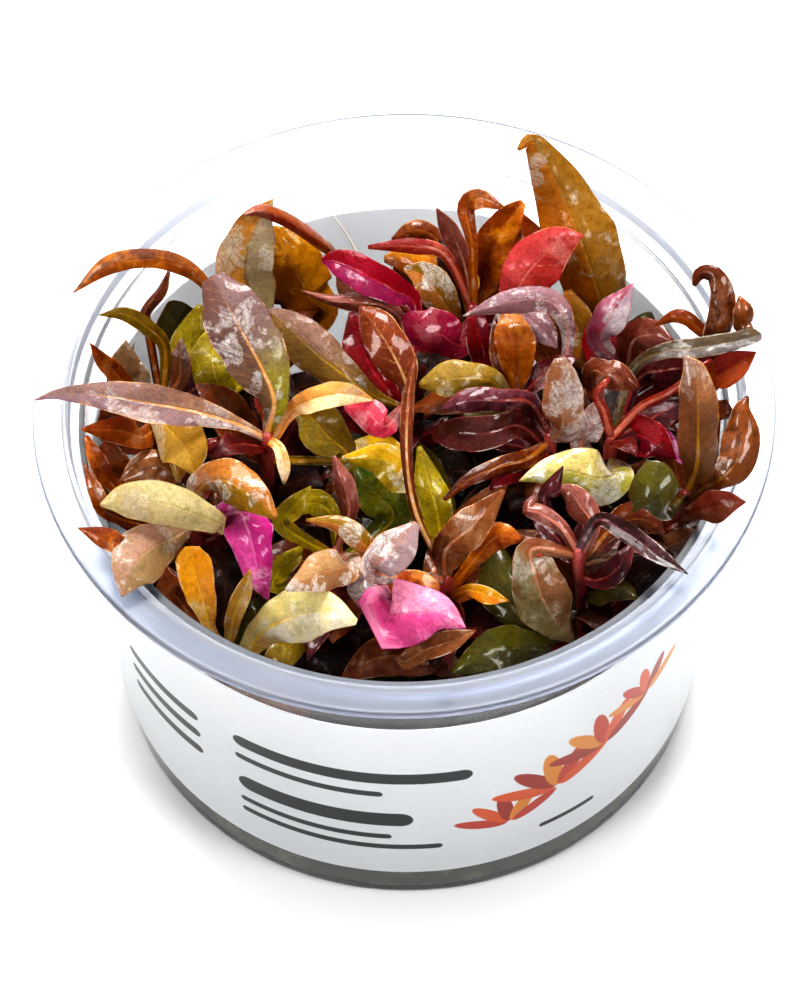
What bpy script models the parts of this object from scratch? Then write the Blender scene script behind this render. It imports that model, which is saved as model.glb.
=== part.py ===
"""Alternanthera plantlets growing on gel in a clear tissue culture cup.

Lengths in the constants are millimetres and become metres when a mesh is made. The cup stands on
z = 0 with its axis on the z axis. A leaf's place is given where it is seen: how far across and
down the view it lies, and how high above the table.
"""
import math
from collections import namedtuple

import bmesh
import bpy
import numpy as np

MM = 0.001
GAP = 0.3
WELD = 0.01

# Cup
RIM_RADIUS = 50.0
CUP_HEIGHT = 62.0
LIP_HEIGHT = 1.0
FLANGE_THICKNESS = 0.9
FLANGE_INNER_RADIUS = 45.3
LEDGE_DEPTH = 2.5
LEDGE_RADIUS = 45.0
BASE_OUTER_RADIUS = 41.0
WALL_TAPER = 0.052
WALL_THICKNESS = 0.9
BASE_THICKNESS = 1.2
BASE_FILLET = 2.0
LIP_THICKNESS = 0.9
CUP_SEGMENTS = 40
EDGE = 0.3

# Label and gel
LABEL_BOTTOM = 8.1
LABEL_TOP = 48.6
LABEL_THICKNESS = 0.25
GEL_TOP = 14.0
GEL_SEGMENTS = 32
SOCKET_DEPTH = 5.0
SOCKET_SIDES = 8
SOCKET_ABOVE = 2.0

# Plants
STEM_RADIUS = 0.9
STEM_BEVEL_STEPS = 1
STEM_UPRIGHT = 3.0
STEM_SAMPLES = 13
LEAF_THICKNESS = 0.55
SMALL_LEAF_THICKNESS = 0.5
TIP_WIDTH = 0.5
PETIOLE_WIDTH = 1.3
STEM_RINGS = 6
LEAF_RING_EVERY = 4.2
LEAF_RINGS = (6, 9)
SMALL_LEAF_RINGS = 5
PATH_SAMPLES = 24
STEM_CLOSE_SAMPLES = 120
PETIOLE_START = STEM_RADIUS + GAP + PETIOLE_WIDTH / 2

# The view in which leaves are placed: 798 by 1000 units, its middle at the aim point
VIEW_MIDDLE = (399.0, 500.0)
VIEW_FOCAL = 4500.0
VIEW_DISTANCE = 624.5
VIEW_ELEVATION = math.radians(55.23)
VIEW_ROLL = math.radians(-1.31)
VIEW_AIM = (-0.95, 0.0, 38.4)

TINTS = {
    "russet": (0.30, 0.09, 0.04, 1.0),
    "orange": (0.50, 0.15, 0.02, 1.0),
    "amber": (0.55, 0.24, 0.03, 1.0),
    "gold": (0.62, 0.36, 0.05, 1.0),
    "olive": (0.22, 0.19, 0.06, 1.0),
    "lime": (0.36, 0.36, 0.05, 1.0),
    "green": (0.10, 0.12, 0.03, 1.0),
    "cream": (0.62, 0.50, 0.26, 1.0),
    "crimson": (0.50, 0.02, 0.06, 1.0),
    "magenta": (0.75, 0.05, 0.25, 1.0),
    "plum": (0.17, 0.06, 0.07, 1.0),
    "brown": (0.20, 0.08, 0.04, 1.0),
    "mauve": (0.36, 0.24, 0.24, 1.0),
    "stem": (0.48, 0.07, 0.06, 1.0),
    "cup": (0.90, 0.93, 0.98, 1.0),
    "label": (0.88, 0.89, 0.90, 1.0),
    "gel": (0.45, 0.45, 0.36, 1.0),
}

# A place in the view, in its units across and down, with the height in mm above the table and,
# on a leaf, the full width in mm there
At = namedtuple("At", "across down height width", defaults=(0,))

# A stem stands in the gel at (x, y) in mm and leans to its top
Stem = namedtuple("Stem", "name foot top")
STEMS = (
    Stem("stem_left", (-19.0, -3.5), At(267, 432, 56.0)),
    Stem("stem_back_left", (-20.0, 12.0), At(246, 345, 47.0)),
    Stem("stem_far_left", (-31.0, 3.0), At(160, 398, 47.0)),
    Stem("stem_lower_left", (-27.0, -12.0), At(190, 512, 50.0)),
    Stem("stem_front_left", (-22.0, -27.0), At(228, 646, 42.0)),
    Stem("stem_middle_left", (-8.0, -14.0), At(336, 548, 47.0)),
    Stem("stem_back_middle", (-2.0, 8.0), At(404, 402, 48.0)),
    Stem("stem_back", (7.0, 19.0), At(474, 306, 52.0)),
    Stem("stem_centre", (14.0, 7.0), At(517, 392, 54.0)),
    Stem("stem_centre_right", (19.0, -2.0), At(550, 432, 52.0)),
    Stem("stem_front_middle", (5.0, -18.0), At(446, 575, 47.0)),
    Stem("stem_back_right", (29.0, 14.0), At(628, 368, 48.0)),
    Stem("stem_right", (28.0, 0.0), At(611, 430, 55.0)),
    Stem("stem_far_right", (34.0, -8.0), At(688, 490, 50.0)),
    Stem("stem_front_right", (25.0, -24.0), At(578, 548, 56.0)),
)

# A leaf leaves its stem at a height in mm, then passes its stations from base to tip. Fold raises
# both edges towards the view, and turn rolls the blade about its midrib from base to tip, both in
# degrees.
Leaf = namedtuple("Leaf", "name stem root fold turn tint stations")
LEAVES = (
    Leaf("leaf_spear_left", "stem_left", 54.5, 14, (0, 0), "russet", (
        At(240, 425, 57.5, 1.8), At(205, 414, 60, 3.6), At(160, 405, 62.5, 5.4),
        At(105, 396, 65, 4.0), At(60, 394, 66, 1.6), At(35, 400, 65.5, 0))),
    Leaf("leaf_big_purple", "stem_left", 55.6, -12, (0, 0), "mauve", (
        At(274, 402, 60, 4.2), At(263, 370, 63.5, 7.8), At(244, 335, 66.5, 9.2),
        At(226, 302, 69, 7.6), At(212, 276, 69.5, 3.4))),
    Leaf("leaf_opposite_gold", "stem_left", 52.0, 16, (0, 0), "gold", (
        At(290, 413, 56.5, 2.0), At(315, 399, 60, 3.6), At(345, 394, 60, 3.2),
        At(374, 400, 57.5, 0))),
    Leaf("leaf_arch_left", "stem_back_left", 46.4, -24, (0, 20), "orange", (
        At(214, 296, 57, 1.4), At(188, 270, 63.5, 2.6), At(150, 259, 67.5, 3.0),
        At(110, 266, 67.5, 3.0), At(73, 293, 64.5, 0))),
    Leaf("leaf_back_olive", "stem_back_left", 43.4, 10, (0, 0), "olive", (
        At(250, 305, 51, 6.6), At(245, 265, 57, 8.2), At(256, 226, 62, 5.6), At(273, 199, 65, 0))),
    Leaf("leaf_rolled_red", "stem_back", 42.0, -50, (0, 0), "russet", (
        At(355, 272, 52, 1.8), At(325, 247, 59, 2.8), At(290, 222, 65.5, 3.0),
        At(262, 211, 68.5, 2.8), At(243, 215, 69, 0))),
    Leaf("leaf_gold_back", "stem_back_left", 37.0, -10, (0, 0), "amber", (
        At(296, 318, 43, 4.6), At(293, 290, 48, 7.0), At(292, 262, 52, 6.0),
        At(290, 240, 55, 1.6))),
    Leaf("leaf_olive_middle", "stem_back_middle", 46.5, -10, (0, 0), "olive", (
        At(374, 396, 51, 2.2), At(345, 376, 54.5, 4.8), At(313, 350, 57.5, 6.4),
        At(290, 328, 59, 5.4), At(268, 310, 59, 1.0))),
    Leaf("leaf_lime_back", "stem_back_left", 40.6, -8, (0, 0), "lime", (
        At(222, 336, 47.5, 2.2), At(213, 350, 51, 5.8), At(214, 370, 51, 6.4),
        At(220, 388, 49, 5.4), At(228, 408, 46.5, 0))),
    Leaf("leaf_crimson_back", "stem_back_middle", 45.0, 22, (0, 0), "crimson", (
        At(416, 312, 55, 1.8), At(394, 290, 58.5, 4.4), At(362, 274, 60.5, 5.4),
        At(338, 262, 61, 3.8), At(322, 260, 60.5, 0.6))),
    Leaf("leaf_dark_gloss", "stem_back_middle", 47.8, -14, (0, 0), "brown", (
        At(408, 390, 55.5, 2.2), At(400, 368, 59.5, 5.2), At(386, 342, 62.5, 5.8),
        At(371, 320, 63.5, 4.6), At(360, 306, 63, 0.6))),
    Leaf("leaf_crimson_centre", "stem_back", 50.8, -12, (0, 0), "crimson", (
        At(462, 344, 53, 3.6), At(441, 334, 56, 6.4), At(420, 326, 57.5, 5.8),
        At(404, 315, 57.5, 1.6))),
    Leaf("leaf_amber_centre", "stem_back", 46.8, -14, (0, 0), "amber", (
        At(462, 297, 52, 3.0), At(440, 275, 55.5, 6.0), At(412, 260, 57, 5.0),
        At(384, 259, 56.5, 1.0))),
    Leaf("leaf_orange_upright", "stem_back", 46.6, 10, (0, 0), "orange", (
        At(483, 290, 51.5, 3.4), At(488, 262, 56, 5.2), At(498, 235, 60, 5.2),
        At(512, 215, 63, 3.6), At(523, 202, 64.5, 1.0))),
    Leaf("leaf_red_oval", "stem_centre", 49.5, -10, (0, 0), "crimson", (
        At(513, 312, 55, 3.4), At(521, 283, 59, 6.6), At(540, 259, 62, 7.4),
        At(562, 242, 64.5, 4.8), At(583, 235, 66, 0))),
    Leaf("leaf_tall_back", "stem_back_right", 37.0, -22, (0, 0), "olive", (
        At(611, 338, 43, 5.0), At(598, 292, 53, 9.8), At(582, 243, 60.5, 10.6),
        At(563, 197, 64.5, 8.4), At(544, 160, 69, 5.0), At(530, 141, 71.5, 2.4),
        At(518, 150, 71, 0.4))),
    Leaf("leaf_lavender", "stem_centre_right", 49.0, -18, (0, 0), "mauve", (
        At(567, 352, 58.5, 1.6), At(564, 318, 63.5, 2.8), At(547, 300, 65.5, 3.6),
        At(508, 302, 66, 3.4), At(463, 316, 63.5, 0))),
    Leaf("leaf_amber_vertical", "stem_centre", 53.0, -8, (0, 0), "amber", (
        At(517, 368, 57, 4.4), At(515, 343, 60, 5.6), At(511, 322, 61, 4.4),
        At(507, 305, 60.5, 0.6))),
    Leaf("leaf_pale_olive", "stem_centre", 50.0, -16, (0, 0), "olive", (
        At(494, 382, 57, 3.2), At(468, 378, 59, 4.8), At(442, 380, 59, 4.8),
        At(419, 385, 57.5, 0.8))),
    Leaf("leaf_hook", "stem_back_right", 44.5, -20, (0, 0), "russet", (
        At(698, 362, 60, 2.2), At(716, 333, 65, 3.6), At(723, 298, 69, 3.6), At(714, 275, 71, 2.6),
        At(700, 274, 70.5, 2.0), At(694, 286, 69, 0.6))),
    Leaf("leaf_long_grey", "stem_right", 52.5, 12, (0, 30), "mauve", (
        At(632, 372, 60, 1.4), At(662, 352, 65, 2.2), At(698, 348, 67, 3.0),
        At(732, 342, 67.5, 2.6), At(758, 335, 67.5, 2.0))),
    Leaf("leaf_red_right", "stem_far_right", 48.6, 20, (0, 0), "orange", (
        At(706, 392, 61.5, 2.6), At(723, 373, 64, 4.6), At(740, 362, 65, 3.4),
        At(756, 352, 65, 0))),
    Leaf("leaf_brown_shield", "stem_right", 50.8, -20, (0, 0), "russet", (
        At(592, 376, 60, 3.0), At(606, 374, 61.5, 4.2), At(622, 379, 61.5, 3.8),
        At(640, 388, 60.5, 0.6))),
    Leaf("leaf_upright_grey", "stem_centre_right", 50.0, -12, (0, 0), "mauve", (
        At(562, 428, 56.5, 4.8), At(563, 402, 60.5, 5.6), At(562, 378, 63.5, 4.6),
        At(560, 358, 65.5, 1.6))),
    Leaf("leaf_plum_upper", "stem_centre_right", 51.8, -24, (0, 0), "plum", (
        At(530, 403, 58, 2.8), At(500, 400, 60.5, 3.4), At(466, 401, 61, 3.6),
        At(441, 410, 59.5, 0.4))),
    Leaf("leaf_plum_lower", "stem_centre_right", 48.0, 18, (0, 0), "plum", (
        At(520, 426, 54.5, 3.4), At(488, 433, 55.5, 4.8), At(456, 434, 55, 4.6),
        At(432, 437, 53, 1.0))),
    Leaf("leaf_pale_right", "stem_right", 48.4, -16, (0, 0), "cream", (
        At(616, 474, 57, 5.6), At(598, 478, 60, 8.0), At(573, 472, 61, 6.4), At(545, 472, 61, 3.6),
        At(519, 481, 59.5, 0))),
    Leaf("leaf_dark_blob", "stem_far_right", 48.8, -16, (0, 0), "green", (
        At(668, 509, 61, 3.2), At(660, 498, 64.5, 6.8), At(647, 486, 65.5, 8.0),
        At(634, 478, 65, 5.0))),
    Leaf("leaf_upright_ochre", "stem_far_right", 49.8, -14, (0, 0), "brown", (
        At(697, 465, 57, 5.0), At(698, 430, 62, 5.6), At(698, 398, 66, 5.2),
        At(694, 372, 68.5, 3.6), At(685, 356, 69.5, 0.6))),
    Leaf("leaf_outer_right", "stem_far_right", 46.2, -20, (0, 0), "russet", (
        At(704, 488, 59, 1.4), At(718, 481, 65.5, 2.8), At(736, 462, 66, 5.0),
        At(742, 435, 68, 5.2), At(742, 410, 69.5, 2.8), At(748, 396, 70, 0.4))),
    Leaf("leaf_point_right", "stem_far_right", 42.0, -12, (0, 0), "russet", (
        At(693, 513, 62, 2.6), At(710, 508, 66.5, 4.4), At(728, 503, 68, 3.2),
        At(746, 502, 68.5, 0))),
    Leaf("leaf_veined_brown", "stem_front_right", 54.4, -14, (0, 0), "brown", (
        At(533, 548, 57, 3.2), At(535, 575, 54.5, 6.4), At(545, 603, 51.5, 8.2),
        At(560, 627, 48, 4.6), At(573, 642, 45, 0.6))),
    Leaf("leaf_long_dark", "stem_front_right", 55.4, 18, (0, 20), "plum", (
        At(598, 520, 61, 1.8), At(625, 532, 63.5, 2.8), At(655, 554, 64.5, 2.6),
        At(688, 574, 64.5, 0))),
    Leaf("leaf_bright_pink", "stem_front_middle", 43.0, -16, (0, 0), "magenta", (
        At(390, 614, 50, 9.2), At(412, 613, 53, 8.6), At(440, 614, 53, 5.6), At(466, 628, 51, 0))),
    Leaf("leaf_front_green", "stem_front_right", 36.0, -14, (0, 0), "green", (
        At(545, 648, 40, 4.0), At(515, 648, 43, 6.4), At(485, 655, 43.5, 5.4),
        At(452, 674, 42, 0.6))),
    Leaf("leaf_front_brown", "stem_front_middle", 38.0, 20, (0, 0), "russet", (
        At(405, 660, 43, 2.0), At(425, 650, 47, 3.0), At(450, 641, 49, 3.2),
        At(476, 630, 49.5, 0))),
    Leaf("leaf_folded_top", "stem_lower_left", 49.2, -22, (0, 0), "orange", (
        At(200, 488, 57, 4.4), At(222, 480, 61.5, 6.2), At(250, 494, 62.5, 5.4),
        At(276, 518, 60.5, 1.0))),
    Leaf("leaf_magenta_hanging", "stem_lower_left", 46.0, -18, (0, 0), "magenta", (
        At(236, 512, 55, 5.0), At(247, 528, 57, 6.8), At(254, 552, 55.5, 5.4),
        At(259, 577, 53, 3.8), At(269, 602, 50, 0))),
    Leaf("leaf_pale_left", "stem_lower_left", 49.8, -12, (0, 0), "cream", (
        At(222, 526, 60, 2.4), At(196, 514, 64.5, 4.6), At(160, 503, 68, 6.0),
        At(126, 500, 69, 4.6), At(100, 505, 68.5, 0.4))),
    Leaf("leaf_grey_olive_left", "stem_lower_left", 47.6, -14, (0, 0), "mauve", (
        At(177, 536, 59, 3.4), At(152, 548, 63.5, 7.4), At(133, 568, 65.5, 6.4),
        At(122, 597, 64, 0))),
    Leaf("leaf_amber_spoon", "stem_front_left", 39.6, 14, (0, 0), "amber", (
        At(211, 630, 45.5, 1.6), At(206, 612, 50, 2.8), At(198, 584, 55, 4.6),
        At(193, 560, 58, 4.8), At(192, 546, 59.5, 2.0))),
    Leaf("leaf_cream_front", "stem_front_left", 36.4, -10, (0, 0), "cream", (
        At(262, 633, 47.5, 4.6), At(290, 618, 52.5, 7.2), At(322, 612, 56.5, 6.2),
        At(357, 622, 56.5, 0.8))),
)

# Low leaves in the shade: one on each stem, aslant of the way to the cup's middle
LOW_LEAF_HEIGHT = 24.0
LOW_LEAF_STEP = 3.0
LOW_LEAF_LEVELS = 4
LOW_LEAF_LENGTH = 9.5
LOW_LEAF_RISE = 5.0
LOW_LEAF_WIDTH = 4.8
LOW_LEAF_RINGS = 4
LOW_LEAF_BELLY = 0.8
LOW_LEAF_ASLANT = math.radians(35.0)

# Small leaves that stay part of their stem
SMALL_LEAVES = (
    Leaf("twist", "stem_far_left", 44.0, -20, (0, 60), "brown", (
        At(148, 330, 54, 1.4), At(145, 312, 57, 1.8), At(160, 290, 60, 2.2),
        At(168, 271, 62, 1.0))),
    Leaf("small_olive", "stem_far_left", 45.5, -18, (0, 0), "olive", (
        At(165, 350, 55, 1.8), At(148, 328, 59.5, 2.4), At(125, 314, 63, 2.0),
        At(99, 315, 64.5, 0))),
    Leaf("orange_point", "stem_far_left", 40.0, 12, (0, 0), "orange", (
        At(118, 376, 56, 2.6), At(103, 361, 61, 2.2), At(90, 343, 64.5, 0))),
    Leaf("grey_point", "stem_far_left", 43.0, -12, (0, 0), "mauve", (
        At(124, 385, 52, 5.6), At(125, 362, 56, 4.2), At(126, 340, 59, 0))),
    Leaf("tan_back", "stem_far_left", 46.4, -12, (0, 0), "olive", (
        At(178, 380, 50, 3.0), At(180, 360, 53, 3.0), At(181, 338, 55.5, 0))),
    Leaf("brown_orange", "stem_far_left", 45.0, -20, (0, 0), "orange", (
        At(146, 436, 56, 3.4), At(118, 430, 60.5, 3.8), At(82, 429, 64, 0.4))),
    Leaf("yellow_left", "stem_far_left", 46.0, -14, (0, 0), "gold", (
        At(168, 424, 55, 4.0), At(180, 446, 56, 5.4), At(178, 482, 53, 0.6))),
    Leaf("orange_curve", "stem_lower_left", 42.0, 14, (0, 0), "orange", (
        At(116, 488, 55, 2.0), At(98, 462, 61, 2.6), At(86, 436, 63, 0.6))),
    Leaf("thin_left", "stem_lower_left", 44.6, 14, (0, 0), "russet", (
        At(114, 516, 60.5, 1.8), At(97, 494, 64.5, 2.2), At(84, 463, 65, 0))),
    Leaf("orange_left", "stem_lower_left", 41.0, -10, (0, 0), "orange", (
        At(128, 546, 63.5, 2.2), At(106, 538, 65.5, 3.0), At(78, 528, 66, 0))),
    Leaf("amber_dark", "stem_front_left", 33.4, -10, (0, 0), "orange", (
        At(186, 610, 43.5, 2.2), At(172, 588, 48, 4.0), At(162, 560, 51, 0))),
    Leaf("narrow_front", "stem_front_left", 42.0, 16, (0, 0), "amber", (
        At(234, 616, 51, 2.4), At(244, 590, 56, 2.4), At(250, 569, 59, 0))),
    Leaf("olive_front", "stem_middle_left", 36.0, -10, (0, 0), "olive", (
        At(304, 632, 41, 3.2), At(285, 650, 42.5, 4.6), At(262, 664, 42.5, 0.6))),
    Leaf("yellow_spike", "stem_middle_left", 44.6, 16, (0, 0), "lime", (
        At(284, 526, 53.5, 2.6), At(296, 505, 57, 3.0), At(311, 486, 59, 0))),
    Leaf("dark_bud", "stem_middle_left", 46.4, -40, (0, 0), "mauve", (
        At(349, 512, 55, 3.2), At(344, 485, 59, 3.8), At(334, 456, 61, 0.6))),
    Leaf("brown_gloss", "stem_middle_left", 45.6, -14, (0, 0), "brown", (
        At(348, 565, 57, 4.4), At(322, 572, 60.5, 5.4), At(286, 590, 60, 0.6))),
    Leaf("oval_silver", "stem_front_middle", 46.0, -10, (0, 0), "mauve", (
        At(374, 572, 56, 3.2), At(397, 548, 60, 5.8), At(417, 523, 61, 1.0))),
    Leaf("yellow_fold", "stem_back_middle", 43.0, -14, (0, 0), "gold", (
        At(402, 480, 55, 3.6), At(384, 460, 59, 5.0), At(342, 458, 58.5, 0.6))),
    Leaf("green_low", "stem_middle_left", 43.4, -10, (0, 0), "green", (
        At(392, 520, 48, 4.6), At(376, 492, 51.5, 6.0), At(356, 465, 53.5, 1.0))),
    Leaf("long_narrow", "stem_front_middle", 46.8, -50, (0, 0), "brown", (
        At(417, 516, 57, 1.8), At(407, 460, 64, 2.4), At(408, 400, 68.5, 2.6),
        At(416, 353, 70.5, 0))),
    Leaf("green_stalk_side", "stem_front_middle", 44.0, -10, (0, 0), "lime", (
        At(438, 516, 51, 4.2), At(428, 480, 54.5, 3.8), At(419, 446, 56.5, 0.6))),
    Leaf("small_crimson", "stem_back_middle", 47.0, -12, (0, 0), "crimson", (
        At(386, 426, 55.5, 3.2), At(368, 414, 56.5, 4.6), At(344, 407, 56, 0.6))),
    Leaf("orange_back", "stem_back", 51.0, -24, (0, 0), "orange", (
        At(446, 256, 61.5, 1.8), At(412, 246, 64, 2.4), At(368, 247, 63.5, 0.6))),
    Leaf("ribbon", "stem_back", 51.6, 18, (0, 40), "orange", (
        At(464, 262, 59, 2.0), At(452, 232, 64, 3.6), At(437, 208, 67, 0.4))),
    Leaf("ribbon_lobe", "stem_back", 51.8, 14, (0, 0), "russet", (
        At(472, 244, 62, 1.6), At(466, 208, 65.5, 2.6), At(480, 199, 67, 3.0),
        At(503, 208, 67, 0.6))),
    Leaf("brown_tip", "stem_back_right", 47.0, -16, (0, 0), "mauve", (
        At(600, 342, 55, 3.6), At(612, 315, 60, 5.0), At(634, 283, 63.5, 0))),
    Leaf("brown_gloss_right", "stem_back_right", 46.0, -16, (0, 0), "brown", (
        At(632, 343, 54, 4.8), At(652, 334, 57, 4.2), At(674, 341, 57.5, 0))),
    Leaf("orange_arch", "stem_back_right", 41.0, -20, (0, 0), "orange", (
        At(702, 348, 60, 1.6), At(694, 324, 64, 2.0), At(676, 316, 65, 2.0), At(654, 326, 63, 0))),
    Leaf("dark_right", "stem_right", 46.0, -14, (0, 0), "plum", (
        At(632, 436, 53, 5.4), At(654, 442, 54.5, 5.0), At(676, 459, 53, 0))),
    Leaf("small_low_right", "stem_far_right", 40.0, -10, (0, 0), "mauve", (
        At(664, 548, 45, 3.4), At(684, 538, 48, 2.8), At(700, 530, 50, 0))),
    Leaf("lavender_low", "stem_front_right", 50.0, 24, (0, 0), "plum", (
        At(598, 580, 54, 2.4), At(616, 570, 57, 3.6), At(634, 541, 59, 0.4))),
    Leaf("dark_twist", "stem_front_right", 53.0, -20, (0, 0), "plum", (
        At(545, 504, 60, 1.8), At(552, 488, 62.5, 2.6), At(563, 466, 64, 0))),
    Leaf("brown_midrib", "stem_front_middle", 45.0, -12, (0, 0), "brown", (
        At(446, 550, 53, 4.2), At(472, 526, 57, 5.2), At(504, 490, 60, 0.6))),
    Leaf("amber_low", "stem_front_middle", 42.0, -24, (0, 0), "amber", (
        At(478, 556, 51, 2.6), At(498, 536, 54, 4.4), At(522, 540, 54, 0.8))),
    Leaf("yellow_tip", "stem_front_middle", 40.6, 12, (0, 0), "gold", (
        At(468, 590, 49.5, 1.6), At(488, 596, 51.5, 2.4), At(509, 601, 51, 0))),
    Leaf("brown_upright", "stem_right", 44.6, -14, (0, 0), "mauve", (
        At(582, 448, 51.5, 3.0), At(590, 425, 55.5, 4.2), At(600, 398, 58, 0.6))),
)


def clear_scene():
    for thing in list(bpy.data.objects):
        bpy.data.objects.remove(thing, do_unlink=True)


def make_collection(name):
    collection = bpy.data.collections.new(name)
    bpy.context.scene.collection.children.link(collection)
    return collection


def make_material(name, tint, roughness=0.35, transmission=0.0):
    material = bpy.data.materials.new(name)
    material.use_nodes = True
    shader = material.node_tree.nodes["Principled BSDF"]
    shader.inputs["Base Color"].default_value = TINTS[tint]
    shader.inputs["Roughness"].default_value = roughness
    shader.inputs["Metallic"].default_value = 0.0
    shader.inputs["Transmission Weight"].default_value = transmission
    return material


def make_object(name, mesh, collection, material):
    thing = bpy.data.objects.new(name, mesh)
    collection.objects.link(thing)
    mesh.materials.append(material)
    return thing


# Turned pieces

def wall_radius(height):
    """Outside radius of the cup's wall at a height."""
    return BASE_OUTER_RADIUS + WALL_TAPER * height


def arc(centre, radius, start, end, steps):
    """Points on an arc in the profile's plane, angles in degrees."""
    angles = np.radians(np.linspace(start, end, steps))
    return [(centre[0] + radius * math.cos(a), centre[1] + radius * math.sin(a)) for a in angles]


def turned(name, profile, closed, segments, collection, material):
    """A solid of revolution about z from a profile of (radius, height) in mm."""
    mesh = bpy.data.meshes.new(name)
    points = [(r * MM, 0.0, z * MM) for r, z in profile]
    edges = [(i, i + 1) for i in range(len(points) - 1)]
    if closed:
        edges.append((len(points) - 1, 0))
    mesh.from_pydata(points, edges, [])
    thing = make_object(name, mesh, collection, material)
    screw = thing.modifiers.new("turn", "SCREW")
    screw.axis = "Z"
    screw.steps = segments
    screw.render_steps = segments
    screw.use_merge_vertices = True
    screw.merge_threshold = WELD * MM
    screw.use_smooth_shade = True
    screw.use_normal_calculate = False
    return thing


def make_cup(collection):
    flange_under = CUP_HEIGHT - FLANGE_THICKNESS
    ledge = CUP_HEIGHT - LEDGE_DEPTH
    collar_bottom = ledge - WALL_THICKNESS
    inner_base = BASE_THICKNESS
    inner_foot = wall_radius(inner_base) - WALL_THICKNESS
    profile = [
        (FLANGE_INNER_RADIUS, CUP_HEIGHT - EDGE),
        (FLANGE_INNER_RADIUS + EDGE, CUP_HEIGHT),
        (RIM_RADIUS - EDGE, CUP_HEIGHT),
        (RIM_RADIUS, CUP_HEIGHT - EDGE),
        (RIM_RADIUS, CUP_HEIGHT - LIP_HEIGHT),
        (RIM_RADIUS - LIP_THICKNESS, CUP_HEIGHT - LIP_HEIGHT),
        (LEDGE_RADIUS + WALL_THICKNESS, flange_under),
        (LEDGE_RADIUS + WALL_THICKNESS, collar_bottom),
        (wall_radius(collar_bottom), collar_bottom - EDGE),
    ]
    foot_centre = (wall_radius(BASE_FILLET) - BASE_FILLET, BASE_FILLET)
    profile += arc(foot_centre, BASE_FILLET, 0, -90, 4)
    profile.append((0.0, 0.0))
    profile.append((0.0, inner_base))
    inner_centre = (inner_foot - BASE_FILLET, inner_base + BASE_FILLET)
    profile += arc(inner_centre, BASE_FILLET, -90, 0, 3)
    profile.append((wall_radius(ledge) - WALL_THICKNESS, ledge))
    profile.append((LEDGE_RADIUS, ledge))
    # The outline starts at the middle of the floor and ends at the middle of the underside
    start = profile.index((0.0, inner_base))
    outline = profile[start:] + profile[:start]
    material = make_material("clear plastic", "cup", 0.08, 1.0)
    return turned("cup", outline, False, CUP_SEGMENTS, collection, material)


def make_label(collection):
    def ring(height, offset):
        return (wall_radius(height) + GAP + offset, height)
    profile = [
        ring(LABEL_TOP, LABEL_THICKNESS), ring(LABEL_BOTTOM, LABEL_THICKNESS),
        ring(LABEL_BOTTOM, 0.0), ring(LABEL_TOP, 0.0),
    ]
    material = make_material("label film", "label", 0.4)
    return turned("label", profile, True, CUP_SEGMENTS, collection, material)


def make_gel(collection, cutters):
    bottom = BASE_THICKNESS + GAP
    inner = wall_radius(bottom + BASE_FILLET) - WALL_THICKNESS - GAP
    top_radius = wall_radius(GEL_TOP) - WALL_THICKNESS - GAP
    profile = [(0.0, GEL_TOP), (top_radius, GEL_TOP), (inner, bottom + BASE_FILLET)]
    profile.append((inner - BASE_FILLET, bottom))
    profile.append((0.0, bottom))
    material = make_material("growth gel", "gel", 0.2, 0.6)
    gel = turned("gel", profile, False, GEL_SEGMENTS, collection, material)
    for stem in STEMS:
        socket = make_socket(stem, cutters)
        cut = gel.modifiers.new("socket of " + stem.name, "BOOLEAN")
        cut.operation = "DIFFERENCE"
        cut.solver = "EXACT"
        cut.object = socket
    return gel


def make_socket(stem, cutters):
    """The hole in the gel that a stem stands in."""
    depth = (SOCKET_DEPTH + GAP) * MM
    above = SOCKET_ABOVE * MM
    # The sides' middles, and not their corners, lie at the stem's clearance
    radius = (STEM_RADIUS + GAP) * MM / math.cos(math.pi / SOCKET_SIDES)
    mesh = bpy.data.meshes.new("socket_" + stem.name)
    shape = bmesh.new()
    bmesh.ops.create_cone(shape, cap_ends=True, segments=SOCKET_SIDES, radius1=radius,
                          radius2=radius, depth=depth + above)
    shape.to_mesh(mesh)
    shape.free()
    socket = bpy.data.objects.new("socket_" + stem.name, mesh)
    socket.location = (stem.foot[0] * MM, stem.foot[1] * MM, GEL_TOP * MM + (above - depth) / 2)
    cutters.objects.link(socket)
    mark_cutter(socket)
    return socket


def mark_cutter(thing):
    thing.hide_render = True
    thing.display_type = "WIRE"


# Places in the view

def view_axes():
    forward = np.array((0.0, math.cos(VIEW_ELEVATION), -math.sin(VIEW_ELEVATION)))
    level = np.array((1.0, 0.0, 0.0))
    upward = np.cross(level, forward)
    across = math.cos(VIEW_ROLL) * level + math.sin(VIEW_ROLL) * upward
    down = math.sin(VIEW_ROLL) * level - math.cos(VIEW_ROLL) * upward
    eye = np.array(VIEW_AIM) - VIEW_DISTANCE * forward
    return forward, across, down, eye


FORWARD, ACROSS, DOWN, EYE = view_axes()


def spot(across, down, height):
    """The point in mm that is seen at (across, down) and lies at a height above the table."""
    ray = (VIEW_FOCAL * FORWARD + (across - VIEW_MIDDLE[0]) * ACROSS
           + (down - VIEW_MIDDLE[1]) * DOWN)
    return EYE + ray * (height - EYE[2]) / ray[2]


def smooth_path(points, samples):
    """A Catmull-Rom curve through rows of numbers, sampled evenly between stations."""
    rows = np.array(points, dtype=float)
    first = 2 * rows[0] - rows[1]
    last = 2 * rows[-1] - rows[-2]
    rows = np.vstack([first, rows, last])
    result = []
    spans = len(rows) - 3
    for position in np.linspace(0.0, spans, samples):
        span = min(int(position), spans - 1)
        t = position - span
        a, b, c, d = rows[span:span + 4]
        result.append(0.5 * (2 * b + (c - a) * t + (2 * a - 5 * b + 4 * c - d) * t * t
                             + (3 * b - a - 3 * c + d) * t ** 3))
    return np.array(result)


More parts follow.
